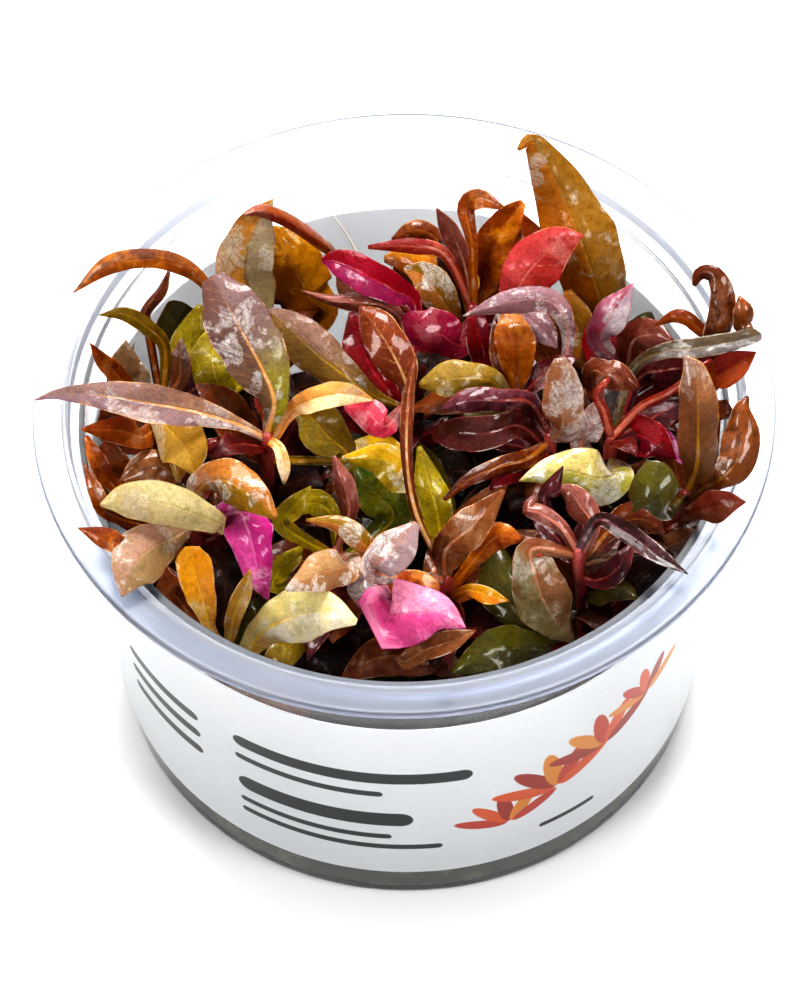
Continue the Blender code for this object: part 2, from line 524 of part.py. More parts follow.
def even_rows(rows, count):
    """Rows at equal distances along the curve that the first three columns draw."""
    steps = np.linalg.norm(np.diff(rows[:, :3], axis=0), axis=1)
    along = np.concatenate([[0.0], np.cumsum(steps)])
    wanted = np.linspace(0.0, along[-1], count)
    return np.array([[np.interp(w, along, column) for column in rows.T] for w in wanted])


# Stems

def stem_points(stem):
    """The centre line of a stem in mm: straight up out of the gel, then over to its top."""
    x, y = stem.foot
    top = spot(*stem.top[:3])
    low = GEL_TOP - SOCKET_DEPTH
    above = GEL_TOP + STEM_UPRIGHT
    middle = ((x + top[0]) / 2, (y + top[1]) / 2, (above + top[2]) / 2)
    return smooth_path([(x, y, low), (x, y, above), middle, top], STEM_SAMPLES)


def stem_at(stem, height):
    """The point on a stem's centre line at a height."""
    line = stem_points(stem)
    return np.array([np.interp(height, line[:, 2], line[:, i]) for i in range(3)])


def make_stem_mesh(stem):
    """The stem alone, a round tube with welded caps."""
    curve = bpy.data.curves.new(stem.name, "CURVE")
    curve.dimensions = "3D"
    curve.bevel_depth = STEM_RADIUS * MM
    curve.bevel_resolution = STEM_BEVEL_STEPS
    curve.use_fill_caps = True
    line = even_rows(stem_points(stem), STEM_RINGS)
    spline = curve.splines.new("POLY")
    spline.points.add(len(line) - 1)
    for point, place in zip(spline.points, line):
        point.co = (*(place * MM), 1.0)
    guide = bpy.data.objects.new(stem.name + "_guide", curve)
    bpy.context.scene.collection.objects.link(guide)
    graph = bpy.context.evaluated_depsgraph_get()
    mesh = bpy.data.meshes.new_from_object(guide.evaluated_get(graph))
    shape = bmesh.new()
    shape.from_mesh(mesh)
    bmesh.ops.remove_doubles(shape, verts=shape.verts, dist=WELD * MM)
    bmesh.ops.recalc_face_normals(shape, faces=shape.faces)
    shape.to_mesh(mesh)
    shape.free()
    mesh.shade_smooth()
    bpy.data.objects.remove(guide, do_unlink=True)
    return mesh


# Leaves

def leaf_rows(leaf, stem, rings, start):
    """Centre, full width and turn at each ring of a leaf, the first at a distance from its stem."""
    root = stem_at(stem, leaf.root)
    widths = [PETIOLE_WIDTH] + [max(station[3], TIP_WIDTH) for station in leaf.stations]
    turns = np.linspace(leaf.turn[0], leaf.turn[1], len(widths))
    places = [root] + [spot(*station[:3]) for station in leaf.stations]
    rows = [(*place, width, turn) for place, width, turn in zip(places, widths, turns)]
    dense = smooth_path(rows, PATH_SAMPLES * len(rows))
    line = smooth_path(stem_points(stem), STEM_CLOSE_SAMPLES)
    away = np.linalg.norm(dense[:, None, :3] - line[None], axis=2).min(axis=1)
    inside = np.flatnonzero(away < start)
    free = dense[inside[-1] + 1:] if len(inside) else dense
    if rings is None:
        length = np.linalg.norm(np.diff(free[:, :3], axis=0), axis=1).sum()
        rings = min(max(round(length / LEAF_RING_EVERY), LEAF_RINGS[0]), LEAF_RINGS[1])
    return even_rows(free, rings)


def leaf_surface(leaf, stem, rings, start):
    """Left edge, midrib and right edge of each ring in mm."""
    rows = leaf_rows(leaf, stem, rings, start)
    centres = rows[:, :3]
    tangents = np.gradient(centres, axis=0)
    grid = []
    for centre, tangent, width, turn in zip(centres, tangents, rows[:, 3], rows[:, 4]):
        tangent = tangent / np.linalg.norm(tangent)
        sight = (EYE - centre) / np.linalg.norm(EYE - centre)
        side = np.cross(tangent, sight)
        side = side / np.linalg.norm(side)
        face = np.cross(side, tangent)
        turn = math.radians(turn)
        side, face = (math.cos(turn) * side + math.sin(turn) * face,
                      math.cos(turn) * face - math.sin(turn) * side)
        fold = math.radians(leaf.fold)
        half = max(width, TIP_WIDTH) / 2
        out = side * half * math.cos(fold)
        rise = face * half * math.sin(fold)
        grid.append((centre - out + rise, centre, centre + out + rise))
    return np.array(grid)


def low_leaf_surface(stem, order):
    """The grid of a low leaf that no view places: it slants up and out from its stem."""
    root = stem_at(stem, LOW_LEAF_HEIGHT + LOW_LEAF_STEP * (order % LOW_LEAF_LEVELS))
    inward = math.atan2(-root[1], -root[0])
    angle = inward + LOW_LEAF_ASLANT * (-1) ** order
    out = np.array((math.cos(angle), math.sin(angle), 0.0))
    side = np.array((-math.sin(angle), math.cos(angle), 0.0))
    grid = []
    for t in np.linspace(0.0, 1.0, LOW_LEAF_RINGS):
        centre = root + out * LOW_LEAF_LENGTH * t
        centre[2] += LOW_LEAF_RISE * math.sin(t * math.pi / 2)
        belly = LOW_LEAF_WIDTH * math.sin(math.pi * t ** LOW_LEAF_BELLY)
        half = max(belly, PETIOLE_WIDTH * (1 - t), TIP_WIDTH) / 2
        grid.append((centre - side * half, centre, centre + side * half))
    return np.array(grid)


def blade_mesh(name, grid):
    """An open sheet over a grid of points in mm."""
    rings, across = grid.shape[:2]
    mesh = bpy.data.meshes.new(name)
    shape = bmesh.new()
    rows = [[shape.verts.new(point * MM) for point in ring] for ring in grid]
    for low, high in zip(rows[:-1], rows[1:]):
        for i in range(across - 1):
            shape.faces.new((low[i], low[i + 1], high[i + 1], high[i]))
    shape.to_mesh(mesh)
    shape.free()
    mesh.shade_smooth()
    return mesh


def thicken(thing, thickness):
    solid = thing.modifiers.new("thickness", "SOLIDIFY")
    solid.thickness = thickness * MM
    solid.offset = 0.0
    solid.use_even_offset = False
    return solid


def make_leaf(leaf, stem, collection):
    grid = leaf_surface(leaf, stem, None, PETIOLE_START)
    mesh = blade_mesh(leaf.name, grid)
    material = make_material(leaf.name, leaf.tint, 0.3)
    thing = make_object(leaf.name, mesh, collection, material)
    thicken(thing, LEAF_THICKNESS)
    return thing


def join_leaf(thing, name, grid, cutters):
    """Grow a small leaf out of a stem."""
    blade = bpy.data.objects.new(name, blade_mesh(name, grid))
    cutters.objects.link(blade)
    mark_cutter(blade)
    thicken(blade, SMALL_LEAF_THICKNESS)
    join = thing.modifiers.new(name, "BOOLEAN")
    join.operation = "UNION"
    join.solver = "EXACT"
    join.object = blade


def make_stem(stem, order, collection, cutters):
    """A stem with its own small leaves joined on."""
    material = make_material(stem.name, "stem", 0.3)
    thing = make_object(stem.name, make_stem_mesh(stem), collection, material)
    join_leaf(thing, stem.name + "_low", low_leaf_surface(stem, order), cutters)
    for leaf in SMALL_LEAVES:
        if leaf.stem == stem.name:
            grid = leaf_surface(leaf, stem, SMALL_LEAF_RINGS, 0.0)
            join_leaf(thing, stem.name + "_" + leaf.name, grid, cutters)
    return thing


def main():
    clear_scene()
    parts = make_collection("alternanthera_cup")
    cutters = make_collection("cutters")
    make_cup(parts)
    make_label(parts)
    make_gel(parts, cutters)
    stems = {stem.name: stem for stem in STEMS}
    for order, stem in enumerate(STEMS):
        make_stem(stem, order, parts, cutters)
    for leaf in LEAVES:
        make_leaf(leaf, stems[leaf.stem], parts)


if __name__ == "__main__":
    main()
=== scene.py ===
"""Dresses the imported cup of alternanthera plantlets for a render.

Lengths in the constants are millimetres and become metres when a mesh is made. A leaf's place is
given where it is seen: how far across and down the view it lies, and how high above the table.
"""
import math
from collections import namedtuple

import bpy
import numpy as np
from bpy.props import FloatProperty, FloatVectorProperty, IntProperty, PointerProperty
from mathutils import Matrix, Vector
from mathutils.bvhtree import BVHTree


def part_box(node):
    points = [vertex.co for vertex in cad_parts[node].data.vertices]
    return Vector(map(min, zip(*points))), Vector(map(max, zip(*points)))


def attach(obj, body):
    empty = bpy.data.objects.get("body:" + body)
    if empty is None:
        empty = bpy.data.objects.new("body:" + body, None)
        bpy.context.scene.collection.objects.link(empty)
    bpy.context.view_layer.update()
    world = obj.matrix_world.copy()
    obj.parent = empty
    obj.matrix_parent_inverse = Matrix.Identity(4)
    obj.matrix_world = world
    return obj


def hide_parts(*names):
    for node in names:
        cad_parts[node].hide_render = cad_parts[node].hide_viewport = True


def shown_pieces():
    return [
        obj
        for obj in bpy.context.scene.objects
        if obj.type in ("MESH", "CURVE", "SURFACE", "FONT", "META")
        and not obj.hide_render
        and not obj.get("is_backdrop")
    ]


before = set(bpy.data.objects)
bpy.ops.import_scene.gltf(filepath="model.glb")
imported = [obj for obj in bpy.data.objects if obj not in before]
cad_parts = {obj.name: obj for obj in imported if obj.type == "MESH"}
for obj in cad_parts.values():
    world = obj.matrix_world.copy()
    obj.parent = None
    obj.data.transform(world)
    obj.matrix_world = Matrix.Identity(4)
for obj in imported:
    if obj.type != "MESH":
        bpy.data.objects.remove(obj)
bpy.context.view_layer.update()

bl_info = {
    "name": "Plantlet Cup",
    "version": (1, 0, 0),
    "blender": (4, 5, 0),
    "location": "3D View > Sidebar > Plantlets",
    "description": "Fine leaves, stems, gel, clear plastic and a plain label on the packed cup",
    "category": "Object",
}

MM = 0.001
BODY = "root"

# Cup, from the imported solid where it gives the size
RIM_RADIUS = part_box("cup")[1].x / MM
CUP_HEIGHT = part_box("cup")[1].z / MM
LIP_HEIGHT = 1.0
LIP_THICKNESS = 0.9
FLANGE_THICKNESS = 0.9
FLANGE_INNER_RADIUS = 45.3
LEDGE_DEPTH = 2.5
LEDGE_RADIUS = 45.0
BASE_OUTER_RADIUS = 41.0
WALL_TAPER = 0.052
WALL_THICKNESS = 0.9
BASE_THICKNESS = 1.2
BASE_FILLET = 2.0

# Label and gel, which stand where their solids stand
LABEL_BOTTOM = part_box("label")[0].z / MM
LABEL_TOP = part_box("label")[1].z / MM
LABEL_GAP = 0.3
LABEL_THICKNESS = 0.25
LABEL_BEVEL = 0.06
GEL_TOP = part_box("gel")[1].z / MM
SOCKET_DEPTH = 5.0

# Plants
STEM_RADIUS = 0.9
STEM_NODE_SWELL = 0.10
STEM_NODE_LENGTH = 1.3
STEM_SIDES = 14
STEM_UPRIGHT = 3.0
PETIOLE_WIDTH = 1.1
TIP_WIDTH = 0.16
LEAF_GROOVE_DEPTH = 0.12
LEAF_GROOVE_HALF = 0.34
LEAF_LONG_WAVE = 0.16
LEAF_SHORT_WAVE = 0.04
LEAF_RAGGEDNESS = 0.035

# How finely a leaf is made, as points across it and the step between its rings: where it belongs
# to its stem, where it is only tested against others, and in the shade
SMALL_GRAIN = (11, 0.7)
TEST_GRAIN = (17, 0.55)
LOW_COLUMNS = 9

# How near a leaf comes to the cup's wall, and how much of what lies beyond is pressed flat on it
PRESS_GAP = 0.7
PRESS = 0.92

# The view in which leaves are placed: 798 by 1000 units, its middle at the aim point
VIEW_SIZE = (798.0, 1000.0)
VIEW_MIDDLE = (399.0, 500.0)
VIEW_FOCAL = 4500.0
VIEW_DISTANCE = 624.5
VIEW_ELEVATION = math.radians(55.23)
VIEW_ROLL = math.radians(-1.31)
VIEW_AIM = (-0.95, 0.0, 38.4)
SENSOR_HEIGHT = 36.0

# A place in the view, in its units across and down, with the height in mm above the table and,
# on a leaf, the full width in mm there
At = namedtuple("At", "across down height width", defaults=(0,))

# A stem stands in the gel at (x, y) in mm and leans to its top
Stem = namedtuple("Stem", "name foot top")
STEMS = (
    Stem("stem_left", (-19.0, -3.5), At(267, 432, 56.0)),
    Stem("stem_back_left", (-20.0, 12.0), At(246, 345, 47.0)),
    Stem("stem_far_left", (-31.0, 3.0), At(160, 398, 47.0)),
    Stem("stem_lower_left", (-27.0, -12.0), At(190, 512, 50.0)),
    Stem("stem_front_left", (-22.0, -27.0), At(228, 646, 42.0)),
    Stem("stem_middle_left", (-8.0, -14.0), At(336, 548, 47.0)),
    Stem("stem_back_middle", (-2.0, 8.0), At(404, 402, 48.0)),
    Stem("stem_back", (7.0, 19.0), At(474, 306, 52.0)),
    Stem("stem_centre", (14.0, 7.0), At(517, 392, 54.0)),
    Stem("stem_centre_right", (19.0, -2.0), At(550, 432, 52.0)),
    Stem("stem_front_middle", (5.0, -18.0), At(446, 575, 47.0)),
    Stem("stem_back_right", (29.0, 14.0), At(628, 368, 48.0)),
    Stem("stem_right", (28.0, 0.0), At(611, 430, 55.0)),
    Stem("stem_far_right", (34.0, -8.0), At(688, 490, 50.0)),
    Stem("stem_front_right", (25.0, -24.0), At(578, 548, 56.0)),
)

STEM_NAMED = {stem.name: stem for stem in STEMS}

# A leaf leaves its stem at a height in mm, then passes its stations from base to tip. Fold raises
# both edges towards the view, and turn rolls the blade about its midrib from base to tip, both in
# degrees.
Leaf = namedtuple("Leaf", "name stem root fold tint stations turn", defaults=((0, 0),))
LEAVES = (
    Leaf("leaf_spear_left", "stem_left", 54.5, 14, "russet", (
        At(240, 425, 57.5, 1.8), At(205, 414, 60, 3.6), At(160, 405, 62.5, 5.4),
        At(105, 396, 65, 4.0), At(60, 394, 66, 1.6), At(35, 400, 65.5, 0))),
    Leaf("leaf_big_purple", "stem_left", 55.6, -12, "mauve", (
        At(274, 402, 60, 4.2), At(263, 370, 63.5, 7.8), At(244, 335, 66.5, 9.2),
        At(226, 302, 69, 7.6), At(212, 276, 69.5, 3.4))),
    Leaf("leaf_opposite_gold", "stem_left", 52.0, 16, "gold", (
        At(290, 413, 56.5, 2.0), At(315, 399, 60, 3.6), At(345, 394, 60, 3.2),
        At(374, 400, 57.5, 0))),
    Leaf("leaf_arch_left", "stem_back_left", 46.4, -24, "orange", (
        At(214, 296, 57, 1.4), At(188, 270, 63.5, 2.6), At(150, 259, 67.5, 3.0),
        At(110, 266, 67.5, 3.0), At(73, 293, 64.5, 0)), (0, 20)),
    Leaf("leaf_back_olive", "stem_back_left", 43.4, 10, "olive", (
        At(250, 305, 51, 6.6), At(245, 265, 57, 8.2), At(256, 226, 62, 5.6), At(273, 199, 65, 0))),
    Leaf("leaf_rolled_red", "stem_back", 42.0, -50, "russet", (
        At(355, 272, 52, 1.8), At(325, 247, 59, 2.8), At(290, 222, 65.5, 3.0),
        At(262, 211, 68.5, 2.8), At(243, 215, 69, 0))),
    Leaf("leaf_gold_back", "stem_back_left", 37.0, -10, "amber", (
        At(296, 318, 43, 4.6), At(293, 290, 48, 7.0), At(292, 262, 52, 6.0),
        At(290, 240, 55, 1.6))),
    Leaf("leaf_olive_middle", "stem_back_middle", 46.5, -10, "olive", (
        At(374, 396, 51, 2.2), At(345, 376, 54.5, 4.8), At(313, 350, 57.5, 6.4),
        At(290, 328, 59, 5.4), At(268, 310, 59, 1.0))),
    Leaf("leaf_lime_back", "stem_back_left", 40.6, -8, "lime", (
        At(222, 336, 47.5, 2.2), At(213, 350, 51, 5.8), At(214, 370, 51, 6.4),
        At(220, 388, 49, 5.4), At(228, 408, 46.5, 0))),
    Leaf("leaf_crimson_back", "stem_back_middle", 45.0, 22, "crimson", (
        At(416, 312, 55, 1.8), At(394, 290, 58.5, 4.4), At(362, 274, 60.5, 5.4),
        At(338, 262, 61, 3.8), At(322, 260, 60.5, 0.6))),
    Leaf("leaf_dark_gloss", "stem_back_middle", 47.8, -14, "brown", (
        At(408, 390, 55.5, 2.2), At(400, 368, 59.5, 5.2), At(386, 342, 62.5, 5.8),
        At(371, 320, 63.5, 4.6), At(360, 306, 63, 0.6))),
    Leaf("leaf_crimson_centre", "stem_back", 50.8, -12, "crimson", (
        At(462, 344, 53, 3.6), At(441, 334, 56, 6.4), At(420, 326, 57.5, 5.8),
        At(404, 315, 57.5, 1.6))),
    Leaf("leaf_amber_centre", "stem_back", 46.8, -14, "amber", (
        At(462, 297, 52, 3.0), At(440, 275, 55.5, 6.0), At(412, 260, 57, 5.0),
        At(384, 259, 56.5, 1.0))),
    Leaf("leaf_orange_upright", "stem_back", 46.6, 10, "orange", (
        At(483, 290, 51.5, 3.4), At(488, 262, 56, 5.2), At(498, 235, 60, 5.2),
        At(512, 215, 63, 3.6), At(523, 202, 64.5, 1.0))),
    Leaf("leaf_red_oval", "stem_centre", 49.5, -10, "crimson", (
        At(513, 312, 55, 3.4), At(521, 283, 59, 6.6), At(540, 259, 62, 7.4),
        At(562, 242, 64.5, 4.8), At(583, 235, 66, 0))),
    Leaf("leaf_tall_back", "stem_back_right", 37.0, -22, "olive", (
        At(611, 338, 43, 5.0), At(598, 292, 53, 9.8), At(582, 243, 60.5, 10.6),
        At(563, 197, 64.5, 8.4), At(544, 160, 69, 5.0), At(530, 141, 71.5, 2.4),
        At(518, 150, 71, 0.4))),
    Leaf("leaf_lavender", "stem_centre_right", 49.0, -18, "mauve", (
        At(567, 352, 58.5, 1.6), At(564, 318, 63.5, 2.8), At(547, 300, 65.5, 3.6),
        At(508, 302, 66, 3.4), At(463, 316, 63.5, 0))),
    Leaf("leaf_amber_vertical", "stem_centre", 53.0, -8, "amber", (
        At(517, 368, 57, 4.4), At(515, 343, 60, 5.6), At(511, 322, 61, 4.4),
        At(507, 305, 60.5, 0.6))),
    Leaf("leaf_pale_olive", "stem_centre", 50.0, -16, "olive", (
        At(494, 382, 57, 3.2), At(468, 378, 59, 4.8), At(442, 380, 59, 4.8),
        At(419, 385, 57.5, 0.8))),
    Leaf("leaf_hook", "stem_back_right", 44.5, -20, "russet", (
        At(698, 362, 60, 2.2), At(716, 333, 65, 3.6), At(723, 298, 69, 3.6), At(714, 275, 71, 2.6),
        At(700, 274, 70.5, 2.0), At(694, 286, 69, 0.6))),
    Leaf("leaf_long_grey", "stem_right", 52.5, 12, "mauve", (
        At(632, 372, 60, 1.4), At(662, 352, 65, 2.2), At(698, 348, 67, 3.0),
        At(732, 342, 67.5, 2.6), At(755, 336, 67.5, 2.2), At(761, 334, 67.3, 0.3)), (0, 30)),
    Leaf("leaf_red_right", "stem_far_right", 48.6, 20, "orange", (
        At(706, 392, 61.5, 2.6), At(723, 373, 64, 4.6), At(740, 362, 65, 3.4),
        At(756, 352, 65, 0))),
    Leaf("leaf_brown_shield", "stem_right", 50.8, -20, "russet", (
        At(592, 376, 60, 3.0), At(606, 374, 61.5, 4.2), At(622, 379, 61.5, 3.8),
        At(640, 388, 60.5, 0.6))),
    Leaf("leaf_upright_grey", "stem_centre_right", 50.0, -12, "mauve", (
        At(562, 428, 56.5, 4.8), At(563, 402, 60.5, 5.6), At(562, 378, 63.5, 4.6),
        At(560, 358, 65.5, 1.6))),
    Leaf("leaf_plum_upper", "stem_centre_right", 51.8, -24, "plum", (
        At(530, 403, 58, 2.8), At(500, 400, 60.5, 3.4), At(466, 401, 61, 3.6),
        At(441, 410, 59.5, 0.4))),
    Leaf("leaf_plum_lower", "stem_centre_right", 48.0, 18, "plum", (
        At(520, 426, 54.5, 3.4), At(488, 433, 55.5, 4.8), At(456, 434, 55, 4.6),
        At(432, 437, 53, 1.0))),
    Leaf("leaf_pale_right", "stem_right", 48.4, -16, "cream", (
        At(616, 474, 57, 5.6), At(598, 478, 60, 8.0), At(573, 472, 61, 6.4), At(545, 472, 61, 3.6),
        At(519, 481, 59.5, 0))),
    Leaf("leaf_dark_blob", "stem_far_right", 48.8, -16, "green", (
        At(668, 509, 61, 3.2), At(660, 498, 64.5, 6.8), At(647, 486, 65.5, 8.0),
        At(634, 478, 65, 5.0))),
    Leaf("leaf_upright_ochre", "stem_far_right", 49.8, -14, "brown", (
        At(697, 465, 57, 5.0), At(698, 430, 62, 5.6), At(698, 398, 66, 5.2),
        At(694, 372, 68.5, 3.6), At(685, 356, 69.5, 0.6))),
    Leaf("leaf_outer_right", "stem_far_right", 46.2, -20, "russet", (
        At(704, 488, 59, 1.4), At(718, 481, 65.5, 2.8), At(736, 462, 66, 5.0),
        At(742, 435, 68, 5.2), At(742, 410, 69.5, 2.8), At(748, 396, 70, 0.4))),
    Leaf("leaf_point_right", "stem_far_right", 42.0, -12, "russet", (
        At(693, 513, 62, 2.6), At(710, 508, 66.5, 4.4), At(728, 503, 68, 3.2),
        At(746, 502, 68.5, 0))),
    Leaf("leaf_veined_brown", "stem_front_right", 54.4, -14, "brown", (
        At(533, 548, 57, 3.2), At(535, 575, 54.5, 6.4), At(545, 603, 51.5, 8.2),
        At(560, 627, 48, 4.6), At(573, 642, 45, 0.6))),
    Leaf("leaf_long_dark", "stem_front_right", 55.4, 18, "plum", (
        At(598, 520, 61, 1.8), At(625, 532, 63.5, 2.8), At(655, 554, 64.5, 2.6),
        At(688, 574, 64.5, 0)), (0, 20)),
    Leaf("leaf_bright_pink", "stem_front_middle", 43.0, -16, "magenta", (
        At(390, 614, 50, 9.2), At(412, 613, 53, 8.6), At(440, 614, 53, 5.6), At(466, 628, 51, 0))),
    Leaf("leaf_front_green", "stem_front_right", 36.0, -14, "green", (
        At(545, 648, 40, 4.0), At(515, 648, 43, 6.4), At(485, 655, 43.5, 5.4),
        At(452, 674, 42, 0.6))),
    Leaf("leaf_front_brown", "stem_front_middle", 38.0, 20, "russet", (
        At(405, 660, 43, 2.0), At(425, 650, 47, 3.0), At(450, 641, 49, 3.2),
        At(476, 630, 49.5, 0))),
    Leaf("leaf_folded_top", "stem_lower_left", 49.2, -22, "orange", (
        At(200, 488, 57, 4.4), At(222, 480, 61.5, 6.2), At(250, 494, 62.5, 5.4),
        At(276, 518, 60.5, 1.0))),
    Leaf("leaf_magenta_hanging", "stem_lower_left", 46.0, -18, "magenta", (
        At(236, 512, 55, 5.0), At(247, 528, 57, 6.8), At(254, 552, 55.5, 5.4),
        At(259, 577, 53, 3.8), At(269, 602, 50, 0))),
    Leaf("leaf_pale_left", "stem_lower_left", 49.8, -12, "cream", (
        At(222, 526, 60, 2.4), At(196, 514, 64.5, 4.6), At(160, 503, 68, 6.0),
        At(126, 500, 69, 4.6), At(100, 505, 68.5, 0.4))),
    Leaf("leaf_grey_olive_left", "stem_lower_left", 47.6, -14, "mauve", (
        At(177, 536, 59, 3.4), At(152, 548, 63.5, 7.4), At(133, 568, 65.5, 6.4),
        At(122, 597, 64, 0))),
    Leaf("leaf_amber_spoon", "stem_front_left", 39.6, 14, "amber", (
        At(211, 630, 45.5, 1.6), At(206, 612, 50, 2.8), At(198, 584, 55, 4.6),
        At(193, 560, 58, 4.8), At(192, 546, 59.5, 2.0))),
    Leaf("leaf_cream_front", "stem_front_left", 36.4, -10, "cream", (
        At(262, 633, 47.5, 4.6), At(290, 618, 52.5, 7.2), At(322, 612, 56.5, 6.2),
        At(357, 622, 56.5, 0.8))),
)

